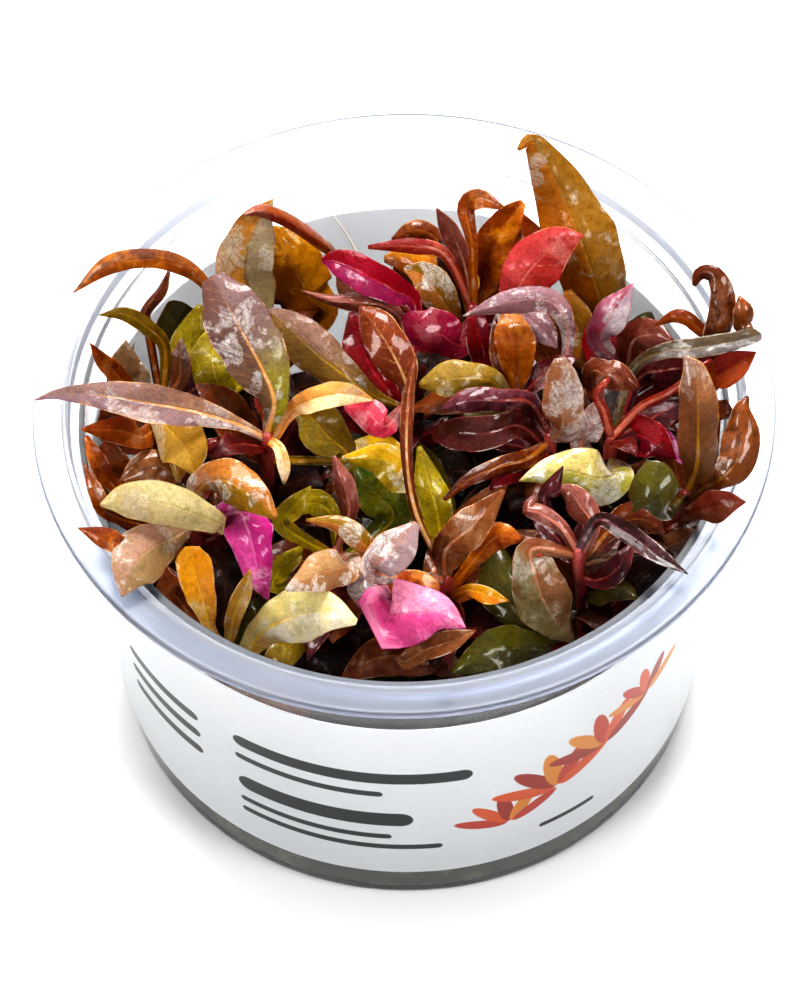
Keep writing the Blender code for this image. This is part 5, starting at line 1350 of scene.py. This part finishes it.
def low_leaf_rows(root, azimuth, pitch, length, width, droop):
    """Rows of a leaf that no view places, with the directions of its side and face."""
    t = np.linspace(0.0, 1.0, 15)
    out = np.array((math.cos(azimuth), math.sin(azimuth), 0.0))
    rise = np.sin(t * math.pi / 2) * math.sin(pitch) * length - droop * length * t ** 2
    reach = t * math.cos(pitch) * length
    centres = root + out * reach[:, None] + np.array((0.0, 0.0, 1.0)) * rise[:, None]
    belly = np.sin(math.pi * np.clip(t, 0, 1) ** 0.85) ** 0.9 * width
    widths = np.maximum(np.maximum(belly, PETIOLE_WIDTH * (1 - t * 1.4)), TIP_WIDTH)
    rows = np.column_stack([centres, widths, np.zeros(len(t))])
    tangents = unit(np.gradient(centres, axis=0))
    side = unit(np.cross(tangents, (0.0, 0.0, 1.0)))
    return rows, side, np.cross(side, tangents)


# Pieces

def linked(name, data):
    """A new object in the scene."""
    thing = bpy.data.objects.new(name, data)
    bpy.context.scene.collection.objects.link(thing)
    return thing


def add_object(name, mesh, materials, nodes):
    """Links a finished mesh, lets it ride on the cup's body and stand for its nodes."""
    piece = linked(name, mesh)
    for material in materials:
        mesh.materials.append(material)
    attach(piece, BODY)
    if nodes:
        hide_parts(*nodes)
    return piece


def wall_radius(height):
    """Outside radius of the cup's wall at a height."""
    return BASE_OUTER_RADIUS + WALL_TAPER * height


def arc(centre, radius, start, end, steps):
    """Points on an arc in the profile's plane, angles in degrees."""
    angles = np.radians(np.linspace(start, end, steps))
    return [(centre[0] + radius * math.cos(a), centre[1] + radius * math.sin(a)) for a in angles]


def turned_mesh(name, profile, closed, facets):
    """A solid of revolution about z from a profile of (radius, height) in mm."""
    mesh = bpy.data.meshes.new(name)
    points = [(r * MM, 0.0, z * MM) for r, z in profile]
    edges = [(i, i + 1) for i in range(len(points) - 1)]
    if closed:
        edges.append((len(points) - 1, 0))
    mesh.from_pydata(points, edges, [])
    thing = linked(name + "_profile", mesh)
    screw = thing.modifiers.new("turn", "SCREW")
    screw.axis = "Z"
    screw.steps = facets
    screw.render_steps = facets
    screw.use_merge_vertices = True
    screw.merge_threshold = 0.01 * MM
    screw.use_normal_calculate = False
    graph = bpy.context.evaluated_depsgraph_get()
    turned = bpy.data.meshes.new_from_object(thing.evaluated_get(graph))
    turned.name = name
    bpy.data.objects.remove(thing, do_unlink=True)
    bpy.data.meshes.remove(mesh)
    turned.shade_smooth()
    turned.set_sharp_from_angle(angle=math.radians(40))
    return turned


def cup_profile():
    """The cup's half section from the middle of its floor, over the rim, to its underside."""
    under = CUP_HEIGHT - FLANGE_THICKNESS
    ledge = CUP_HEIGHT - LEDGE_DEPTH
    collar = ledge - WALL_THICKNESS
    foot_inside = wall_radius(BASE_THICKNESS) - WALL_THICKNESS
    floor_centre = (foot_inside - BASE_FILLET, BASE_THICKNESS + BASE_FILLET)
    foot_centre = (wall_radius(BASE_FILLET) - BASE_FILLET, BASE_FILLET)
    ledge_inside = wall_radius(ledge) - WALL_THICKNESS
    bead = (FLANGE_INNER_RADIUS + RIM_RADIUS) / 2 + 0.2
    profile = [(0.0, BASE_THICKNESS), (foot_inside * 0.5, BASE_THICKNESS)]
    profile += arc(floor_centre, BASE_FILLET, -90, 0, 8)
    profile += [(ledge_inside, ledge - 0.15), (ledge_inside + 0.15, ledge)]
    profile += arc((LEDGE_RADIUS - 0.2, ledge + 0.2), 0.2, -90, 0, 4)
    profile += arc((FLANGE_INNER_RADIUS + 0.3, CUP_HEIGHT - 0.3), 0.3, 180, 90, 5)
    profile += [(bead - 1.2, CUP_HEIGHT), (bead, CUP_HEIGHT - 0.12), (bead + 1.2, CUP_HEIGHT)]
    profile += arc((RIM_RADIUS - 0.35, CUP_HEIGHT - 0.35), 0.35, 90, 0, 5)
    profile += arc((RIM_RADIUS - 0.2, CUP_HEIGHT - LIP_HEIGHT + 0.2), 0.2, 0, -90, 4)
    profile += [(RIM_RADIUS - LIP_THICKNESS, CUP_HEIGHT - LIP_HEIGHT),
                (RIM_RADIUS - LIP_THICKNESS - 0.1, under)]
    profile += [(LEDGE_RADIUS + WALL_THICKNESS + 0.3, under),
                (LEDGE_RADIUS + WALL_THICKNESS, under - 0.3),
                (LEDGE_RADIUS + WALL_THICKNESS, collar), (wall_radius(collar), collar - 0.35)]
    profile += arc(foot_centre, BASE_FILLET, 0, -90, 8)
    profile += [(foot_centre[0] * 0.5, 0.0), (0.0, 0.0)]
    return profile


def make_cup(settings):
    mesh = turned_mesh("cup_clear", cup_profile(), False, settings.facets)
    material = plastic_material(settings)
    return add_object("cup_clear", mesh, [material], ["cup"])


def make_label(settings, facets):
    """The label film, whose outer edges are softened."""
    def ring(height, offset):
        return (wall_radius(height) + LABEL_GAP + offset, height)

    soft, full = LABEL_THICKNESS - LABEL_BEVEL, LABEL_THICKNESS
    profile = [ring(LABEL_TOP, soft), ring(LABEL_TOP - LABEL_BEVEL, full),
               ring(LABEL_BOTTOM + LABEL_BEVEL, full), ring(LABEL_BOTTOM, soft),
               ring(LABEL_BOTTOM, 0.0), ring(LABEL_TOP, 0.0)]
    mesh = turned_mesh("label_film", profile, True, facets)
    return add_object("label_film", mesh, [label_material(settings)], ["label"])


def make_gel(facets):
    """The gel, a turned solid with a meniscus at the wall."""
    bottom = BASE_THICKNESS + 0.05
    foot = wall_radius(bottom + BASE_FILLET) - WALL_THICKNESS - 0.05
    top = wall_radius(GEL_TOP) - WALL_THICKNESS - 0.05
    profile = [(0.0, GEL_TOP), (top * 0.4, GEL_TOP - 0.1), (top * 0.8, GEL_TOP + 0.05),
               (top - 1.2, GEL_TOP + 0.15), (top - 0.4, GEL_TOP + 0.5), (top, GEL_TOP + 1.1)]
    profile += arc((foot - BASE_FILLET, bottom + BASE_FILLET), BASE_FILLET, 0, -90, 6)
    profile.append((0.0, bottom))
    mesh = turned_mesh("gel_cloudy", profile, False, facets)
    return add_object("gel_cloudy", mesh, [gel_material()], ["gel"])


def look_of(leaf):
    """The look of a leaf: its own, or that of its tint."""
    name = SMALL_LOOKS.get(leaf.name, leaf.name)
    return name if name in LOOKS else leaf.tint


def make_leaves(settings):
    """The leaves that are nodes of their own."""
    materials = {name: leaf_material("leaf " + name, look, settings.vein_step / MM)
                 for name, look in LOOKS.items()}
    for leaf in LEAVES:
        sheaf = Sheaf()
        add_leaf(sheaf, leaf, settings, 0, settings.columns, settings.ring_step / MM)
        name = leaf.name.replace("leaf_", "blade_")
        add_object(name, sheaf.mesh(name), [materials[look_of(leaf)]], [leaf.name])


def face_tree(points, rings, columns, skip):
    """The upper face of a leaf beyond its first rings, to test against other leaves."""
    grid = points[skip * columns:rings * columns]
    faces = shell_faces(rings - skip, columns)[:(rings - skip - 1) * (columns - 1)]
    return BVHTree.FromPolygons([tuple(p) for p in grid], [tuple(f) for f in faces])


# Where the chance choices of the stems and of the shaded leaves start
STEM_SEEDS = 1000
LOW_SEEDS = 2000


def make_stems(leaf_settings, settings):
    """The stems with their small leaves, the leaves between them and the shaded leaves below."""
    looks = sorted(LOOKS)
    materials = [stem_material()] + [bpy.data.materials["leaf " + name] for name in looks]
    sheaves = {stem.name: Sheaf() for stem in STEMS}
    standing = [leaf_tree(leaf, leaf_settings, TEST_GRAIN) for leaf in LEAVES]
    standing += [leaf_tree(leaf, leaf_settings, SMALL_GRAIN) for leaf in SMALL_LEAVES]
    for order, stem in enumerate(STEMS):
        rng = np.random.default_rng(settings.seed * STEM_SEEDS + order)
        heights = [leaf.root for leaf in LEAVES + SMALL_LEAVES if leaf.stem == stem.name]
        add_stem(sheaves[stem.name], stem, heights, rng)
    for leaf in SMALL_LEAVES:
        slot = 1 + looks.index(look_of(leaf))
        add_leaf(sheaves[leaf.stem], leaf, leaf_settings, slot, *SMALL_GRAIN)
    for leaf in FILL_LEAVES:
        clear = settled(leaf, leaf_settings, standing)
        slot = 1 + looks.index(look_of(clear))
        add_leaf(sheaves[leaf.stem], clear, leaf_settings, slot, *SMALL_GRAIN)
        standing.append(leaf_tree(clear, leaf_settings, SMALL_GRAIN))
    for order, stem in enumerate(STEMS):
        rng = np.random.default_rng(settings.seed * LOW_SEEDS + order)
        add_low_leaves(sheaves[stem.name], stem, settings, leaf_settings, looks, standing, rng)
        name = stem.name.replace("stem_", "shoot_")
        add_object(name, sheaves[stem.name].mesh(name), materials, [stem.name])


def leaf_tree(leaf, settings, grain):
    """What other leaves are tested against: a leaf's upper face beyond its stalk."""
    sheaf = Sheaf()
    rows = add_leaf(sheaf, leaf, settings, 0, *grain)
    return face_tree(sheaf.points[0], len(rows), grain[0], len(rows) // 5)


# Changes of height in mm that are tried for a leaf, in this order
STEPS_BACK = (0.0, -1.0, 1.0, -2.0, -3.0, 2.0, -4.5, -6.0, -8.0, -10.0, 3.0)


def settled(leaf, settings, standing):
    """The leaf moved along its line of sight to where it touches the fewest other leaves."""
    best, least = leaf, None
    for step in STEPS_BACK:
        stations = tuple(
            station._replace(height=station.height + step * min(1.0, 0.5 + 0.25 * order))
            for order, station in enumerate(leaf.stations))
        moved = leaf._replace(stations=stations)
        tree = leaf_tree(moved, settings, SMALL_GRAIN)
        touching = sum(len(tree.overlap(other)) for other in standing)
        if least is None or touching < least:
            best, least = moved, touching
        if least == 0:
            break
    return best


# The shaded leaves: their looks, how far out they may reach and how often a place is tried
LOW_LOOKS = ("shade", "shade_red", "shade_olive", "shade_amber", "shade", "brown", "shade_red",
             "plum")
LOW_REACH = 41.5
LOW_TRIES = 16
LOW_STALK_RINGS = 4


def add_low_leaves(sheaf, stem, settings, leaf_settings, looks, standing, rng):
    """Opposite pairs of leaves up a stem, each turned until it stands clear of the others."""
    top = spot(*stem.top[:3])[2]
    heights = np.arange(settings.first_node / MM, top - 2.0, settings.node_step / MM)
    start = rng.uniform(0, math.pi)
    for pair, height in enumerate(heights):
        root = stem_at(stem, height)
        for turn in (0.0, math.pi):
            for attempt in range(LOW_TRIES):
                azimuth = start + pair * math.pi / 2 + turn + rng.normal(0, 0.25 + attempt * 0.14)
                pitch = math.radians(rng.uniform(8, 50))
                length = settings.length / MM * rng.uniform(0.75, 1.15) * (1 - attempt * 0.035)
                rows, side, face = low_leaf_rows(root, azimuth, pitch, length,
                                                 length * rng.uniform(0.32, 0.46),
                                                 rng.uniform(0.0, 0.25))
                reach = np.hypot(rows[:, 0], rows[:, 1]) + rows[:, 3] / 2
                if (reach > LOW_REACH).any():
                    continue
                points, blades, leaves = leaf_shell(rows, side, face, rng.uniform(-20, 16),
                                                    leaf_settings, LOW_COLUMNS, rng)
                tree = face_tree(points, len(rows), LOW_COLUMNS, LOW_STALK_RINGS)
                if any(tree.overlap(other) for other in standing):
                    continue
                look = LOW_LOOKS[rng.integers(len(LOW_LOOKS))]
                sheaf.add(points, shell_faces(len(rows), LOW_COLUMNS), blades, leaves,
                          1 + looks.index(look))
                standing.append(tree)
                break


# Geometry Nodes

class Geometry:
    """A Geometry Nodes tree under construction."""

    def __init__(self, name):
        self.tree = bpy.data.node_groups.new(name, "GeometryNodeTree")
        face = self.tree.interface
        face.new_socket("Geometry", in_out="INPUT", socket_type="NodeSocketGeometry")
        face.new_socket("Geometry", in_out="OUTPUT", socket_type="NodeSocketGeometry")
        self.sizes = self.tree.nodes.new("NodeGroupInput")
        self.result = self.tree.nodes.new("NodeGroupOutput")

    @property
    def start(self):
        """The mesh that the tree is given."""
        return self.sizes.outputs[0]

    def size(self, name, value, kind="NodeSocketFloat"):
        """A named input with its default."""
        socket = self.tree.interface.new_socket(name, in_out="INPUT", socket_type=kind)
        socket.default_value = value
        return self.sizes.outputs[name]

    def node(self, kind, settings=None, **inputs):
        made = self.tree.nodes.new(kind)
        for name, value in (settings or {}).items():
            setattr(made, name, value)
        for name, value in inputs.items():
            self.give(made.inputs[name.replace("_", " ")], value)
        return made

    def math(self, operation, *values):
        """One step of arithmetic, which geometry trees share with shaders."""
        made = self.node("ShaderNodeMath", {"operation": operation})
        for socket, value in zip(made.inputs, values):
            self.give(socket, value)
        return made.outputs[0]

    def give(self, socket, value):
        if isinstance(value, bpy.types.NodeSocket):
            self.tree.links.new(value, socket)
        else:
            socket.default_value = value

    def finish(self, geometry, material):
        """Ends the tree in real meshes with their material."""
        real = self.node("GeometryNodeRealizeInstances", Geometry=geometry)
        painted = self.node("GeometryNodeSetMaterial", Geometry=real.outputs[0], Material=material)
        self.give(self.result.inputs[0], painted.outputs[0])
        return self.tree


def grown(name, source, tree):
    """The plain mesh that a tree makes from an object's mesh. The object is removed."""
    modifier = source.modifiers.new(name, "NODES")
    modifier.node_group = tree
    graph = bpy.context.evaluated_depsgraph_get()
    mesh = bpy.data.meshes.new_from_object(source.evaluated_get(graph))
    mesh.name = name
    bpy.data.objects.remove(source, do_unlink=True)
    return mesh


# A drop's form on a leaf, how much less than the largest the smallest drops are, and the power
# that makes most of them small
DROP_FORM = (1.0, 0.9, 0.45)
DROP_SPREAD = 0.75
DROP_POWER = 3.0


def drop_tree(settings, material):
    """Flat drops scattered over a surface, most of them small."""
    geometry = Geometry("drops on leaves")
    size = geometry.size("Drop radius", settings.drop)
    amount = geometry.size("Density", settings.density)
    chance = geometry.size("Seed", settings.seed, "NodeSocketInt")
    points = geometry.node("GeometryNodeDistributePointsOnFaces",
                           {"distribute_method": "RANDOM"}, Mesh=geometry.start,
                           Density=amount, Seed=chance)
    ball = geometry.node("GeometryNodeMeshIcoSphere", Radius=1.0, Subdivisions=1)
    flat = geometry.node("GeometryNodeTransform", Geometry=ball.outputs[0], Scale=DROP_FORM)
    smooth = geometry.node("GeometryNodeSetShadeSmooth", Geometry=flat.outputs[0])
    lot = geometry.node("FunctionNodeRandomValue", {"data_type": "FLOAT"}, Seed=chance)
    lot.inputs[2].default_value = 0.0
    lot.inputs[3].default_value = 1.0
    rare = geometry.math("POWER", lot.outputs[1], DROP_POWER)
    scale = geometry.math("MULTIPLY_ADD", rare, DROP_SPREAD, 1.0 - DROP_SPREAD)
    sized = geometry.math("MULTIPLY", scale, size)
    placed = geometry.node("GeometryNodeInstanceOnPoints", Points=points.outputs["Points"],
                           Instance=smooth.outputs[0], Rotation=points.outputs["Rotation"],
                           Scale=sized)
    return geometry.finish(placed.outputs[0], material)


def make_leaf_drops(settings):
    """Drops of water on the upper leaves."""
    material = water_material()
    vertices, faces = [], []
    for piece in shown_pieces():
        if piece.name.startswith("blade_"):
            mesh = piece.data
            mesh.calc_loop_triangles()
            under = np.zeros(len(mesh.vertices) * 3, np.float32)
            mesh.attributes["leaf"].data.foreach_get("vector", under)
            under = under.reshape(-1, 3)[:, 2]
            base = len(vertices)
            vertices += [tuple(v.co) for v in mesh.vertices]
            faces += [tuple(base + i for i in p.vertices) for p in mesh.polygons
                      if all(under[i] < 0.5 for i in p.vertices) and p.normal.z > 0.35]
    mesh = bpy.data.meshes.new("drop_ground")
    mesh.from_pydata(vertices, [], faces)
    ground = linked("drop_ground", mesh)
    made = grown("leaf_drops", ground, drop_tree(settings, material))
    return add_object("leaf_drops", made, [], [])


# Roots: their radius at the stem and how much of it is gone at the tip, how many a stem has, the
# joints of each and how far apart these are
ROOT_RADIUS = 0.22
ROOT_TAPER = 0.75
ROOT_SIDES = 6
ROOTS_EACH = 5
ROOT_JOINTS = 9
ROOT_STEP = 2.3
ROOT_SEED = 11


def root_tree(material):
    """Round threads along the edges of a line mesh, thinner towards their tips."""
    geometry = Geometry("root threads")
    radius = geometry.size("Root radius", ROOT_RADIUS * MM)
    curve = geometry.node("GeometryNodeMeshToCurve", Mesh=geometry.start)
    place = geometry.node("GeometryNodeSplineParameter")
    taper = geometry.math("MULTIPLY_ADD", place.outputs["Factor"], -ROOT_TAPER, 1.0)
    ring = geometry.node("GeometryNodeCurvePrimitiveCircle", {"mode": "RADIUS"},
                         Resolution=ROOT_SIDES, Radius=radius)
    thin = geometry.node("GeometryNodeSetCurveRadius", Curve=curve.outputs[0], Radius=taper)
    thread = geometry.node("GeometryNodeCurveToMesh", Curve=thin.outputs[0],
                           Profile_Curve=ring.outputs[0], Fill_Caps=True)
    if "Scale" in thread.inputs:
        geometry.give(thread.inputs["Scale"], taper)
    smooth = geometry.node("GeometryNodeSetShadeSmooth", Geometry=thread.outputs[0])
    return geometry.finish(smooth.outputs[0], material)


AIR_ROOT = (At(364, 268, 50.0), At(350, 240, 53.0), At(338, 222, 55.5), At(327, 207, 57.0))


def make_roots():
    """Roots that spread from each stem's foot through the gel, and one in the air."""
    vertices, edges = [], []
    rng = np.random.default_rng(ROOT_SEED)

    def thread(points):
        base = len(vertices)
        vertices.extend([tuple(p * MM) for p in points])
        edges.extend([(base + i, base + i + 1) for i in range(len(points) - 1)])

    for stem in STEMS:
        foot = np.array((*stem.foot, GEL_TOP - SOCKET_DEPTH + 0.6))
        for order in range(ROOTS_EACH):
            azimuth = order * 2 * math.pi / ROOTS_EACH + rng.uniform(-0.5, 0.5)
            points = [foot]
            for _ in range(ROOT_JOINTS):
                azimuth += rng.normal(0, 0.35)
                move = np.array((math.cos(azimuth) * ROOT_STEP, math.sin(azimuth) * ROOT_STEP,
                                 rng.uniform(-0.9, 0.15)))
                following = points[-1] + move
                limit = wall_radius(following[2]) - WALL_THICKNESS - 0.6
                distance = np.hypot(*following[:2])
                if distance > limit:
                    following[:2] *= limit / distance
                following[2] = max(following[2], BASE_THICKNESS + 0.5)
                points.append(following)
            thread(smooth_path(points, 28))
    thread(smooth_path([spot(*place[:3]) for place in AIR_ROOT], 14))
    mesh = bpy.data.meshes.new("root_lines")
    mesh.from_pydata(vertices, edges, [])
    lines = linked("root_lines", mesh)
    made = grown("roots_white", lines, root_tree(root_material()))
    return add_object("roots_white", made, [], [])


# Stage

# A square light: bearing from the front towards the right and elevation in degrees, distance and
# side in metres, and its brightness, where a white floor in full light is 1
Light = namedtuple("Light", "name bearing elevation distance side brightness")
LIGHTS = (
    Light("overhead", 168.0, 66.0, 0.80, 0.36, 16.0),
    Light("left", -46.0, 46.0, 0.80, 0.27, 9.5),
    Light("right", 52.0, 43.0, 0.80, 0.27, 9.5),
    Light("behind", 200.0, 34.0, 0.90, 0.45, 5.0),
)
AIM = Vector((0.0, 0.0, 0.045))
FLOOR_REACH = 4.0


def light_place(light):
    bearing, elevation = math.radians(light.bearing), math.radians(light.elevation)
    out = Vector((math.sin(bearing), -math.cos(bearing), math.tan(elevation)))
    return AIM + out.normalized() * light.distance


def make_stage(settings):
    """A wide pale floor, even light from all round and soft lights."""
    mesh = bpy.data.meshes.new("floor")
    signs = ((-1, -1), (1, -1), (1, 1), (-1, 1))
    corners = [(x * FLOOR_REACH, y * FLOOR_REACH, 0.0) for x, y in signs]
    mesh.from_pydata(corners, [], [(0, 1, 2, 3)])
    floor = linked("floor", mesh)
    shading = Shading("pale floor")
    grain = shading.noise(shading.place(), 0.05, 2.0, 0.5)
    paper = tuple(settings.floor)
    colour = shading.blend(grain, paper, tuple(c * 0.985 for c in paper))
    mesh.materials.append(shading.surface(Base_Color=colour, Roughness=0.7))
    floor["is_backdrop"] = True
    world = bpy.data.worlds.new("even light")
    world.use_nodes = True
    background = world.node_tree.nodes["Background"]
    background.inputs["Color"].default_value = (1.0, 1.0, 1.0, 1.0)
    background.inputs["Strength"].default_value = settings.sky
    bpy.context.scene.world = world
    bpy.context.scene.view_settings.view_transform = "Standard"
    bpy.context.scene.view_settings.look = "High Contrast"
    for light in LIGHTS:
        lamp = bpy.data.lights.new(light.name, "AREA")
        lamp.shape = "SQUARE"
        lamp.size = light.side
        lamp.energy = settings.key * light.brightness * math.pi * light.side ** 2
        thing = linked(light.name, lamp)
        thing.location = light_place(light)
        thing.rotation_euler = (AIM - thing.location).to_track_quat("-Z", "Y").to_euler()


def make_camera():
    """The camera at the photograph's place and angle."""
    camera = bpy.data.cameras.new("camera")
    camera.sensor_fit = "VERTICAL"
    camera.sensor_height = SENSOR_HEIGHT
    camera.lens = SENSOR_HEIGHT * VIEW_FOCAL / VIEW_SIZE[1]
    camera.clip_start = 0.01
    camera.clip_end = 20.0
    thing = linked("camera", camera)
    turn = Matrix([ACROSS, -DOWN, -FORWARD]).transposed().to_4x4()
    thing.matrix_world = Matrix.Translation(Vector(EYE * MM)) @ turn
    bpy.context.scene.camera = thing


# Operators

class PLANTLETS_OT_cup(bpy.types.Operator):
    """Turn the clear cup"""
    bl_idname = "plantlets.cup"
    bl_label = "Clear Cup"

    def execute(self, context):
        make_cup(context.scene.plantlets_cup)
        return {"FINISHED"}


class PLANTLETS_OT_label(bpy.types.Operator):
    """Wrap the label film round the cup"""
    bl_idname = "plantlets.label"
    bl_label = "Label Film"

    def execute(self, context):
        make_label(context.scene.plantlets_label, context.scene.plantlets_cup.facets)
        return {"FINISHED"}


class PLANTLETS_OT_gel(bpy.types.Operator):
    """Pour the growth gel"""
    bl_idname = "plantlets.gel"
    bl_label = "Growth Gel"

    def execute(self, context):
        make_gel(context.scene.plantlets_cup.facets)
        return {"FINISHED"}


class PLANTLETS_OT_leaves(bpy.types.Operator):
    """Grow the large leaves"""
    bl_idname = "plantlets.leaves"
    bl_label = "Large Leaves"

    def execute(self, context):
        make_leaves(context.scene.plantlets_leaf)
        return {"FINISHED"}


class PLANTLETS_OT_stems(bpy.types.Operator):
    """Grow the stems with their small and shaded leaves"""
    bl_idname = "plantlets.stems"
    bl_label = "Stems and Small Leaves"

    def execute(self, context):
        make_stems(context.scene.plantlets_leaf, context.scene.plantlets_undergrowth)
        return {"FINISHED"}


class PLANTLETS_OT_roots(bpy.types.Operator):
    """Grow the roots in the gel"""
    bl_idname = "plantlets.roots"
    bl_label = "Roots"

    def execute(self, context):
        make_roots()
        return {"FINISHED"}


class PLANTLETS_OT_water(bpy.types.Operator):
    """Wet the leaves"""
    bl_idname = "plantlets.water"
    bl_label = "Drops"

    def execute(self, context):
        make_leaf_drops(context.scene.plantlets_water)
        return {"FINISHED"}


class PLANTLETS_OT_stage(bpy.types.Operator):
    """Set the floor, the lights and the camera"""
    bl_idname = "plantlets.stage"
    bl_label = "Stage"

    def execute(self, context):
        make_stage(context.scene.plantlets_stage)
        make_camera()
        return {"FINISHED"}


class PLANTLETS_PT_panel(bpy.types.Panel):
    """Lists the pieces and their settings"""
    bl_idname = "PLANTLETS_PT_panel"
    bl_label = "Plantlet Cup"
    bl_space_type = "VIEW_3D"
    bl_region_type = "UI"
    bl_category = "Plantlets"

    def draw(self, context):
        for operator in OPERATORS:
            self.layout.operator(operator.bl_idname)
        for name in SETTINGS:
            group = getattr(context.scene, name)
            box = self.layout.box()
            for field in group.__annotations__:
                box.prop(group, field)


OPERATORS = (PLANTLETS_OT_cup, PLANTLETS_OT_label, PLANTLETS_OT_gel, PLANTLETS_OT_leaves,
             PLANTLETS_OT_stems, PLANTLETS_OT_roots, PLANTLETS_OT_water, PLANTLETS_OT_stage)
SETTINGS = {
    "plantlets_cup": CupSettings, "plantlets_label": LabelSettings,
    "plantlets_leaf": LeafSettings, "plantlets_undergrowth": UndergrowthSettings,
    "plantlets_water": WaterSettings, "plantlets_stage": StageSettings,
}


def register():
    for group in SETTINGS.values():
        bpy.utils.register_class(group)
    for operator in OPERATORS:
        bpy.utils.register_class(operator)
    bpy.utils.register_class(PLANTLETS_PT_panel)
    for name, group in SETTINGS.items():
        setattr(bpy.types.Scene, name, PointerProperty(type=group))


def unregister():
    for name in SETTINGS:
        delattr(bpy.types.Scene, name)
    bpy.utils.unregister_class(PLANTLETS_PT_panel)
    for operator in reversed(OPERATORS):
        bpy.utils.unregister_class(operator)
    for group in reversed(SETTINGS.values()):
        bpy.utils.unregister_class(group)


def main():
    register()
    bpy.ops.plantlets.stage()
    bpy.ops.plantlets.cup()
    bpy.ops.plantlets.label()
    bpy.ops.plantlets.gel()
    bpy.ops.plantlets.leaves()
    bpy.ops.plantlets.stems()
    bpy.ops.plantlets.roots()
    bpy.ops.plantlets.water()


if __name__ == "__main__":
    main()
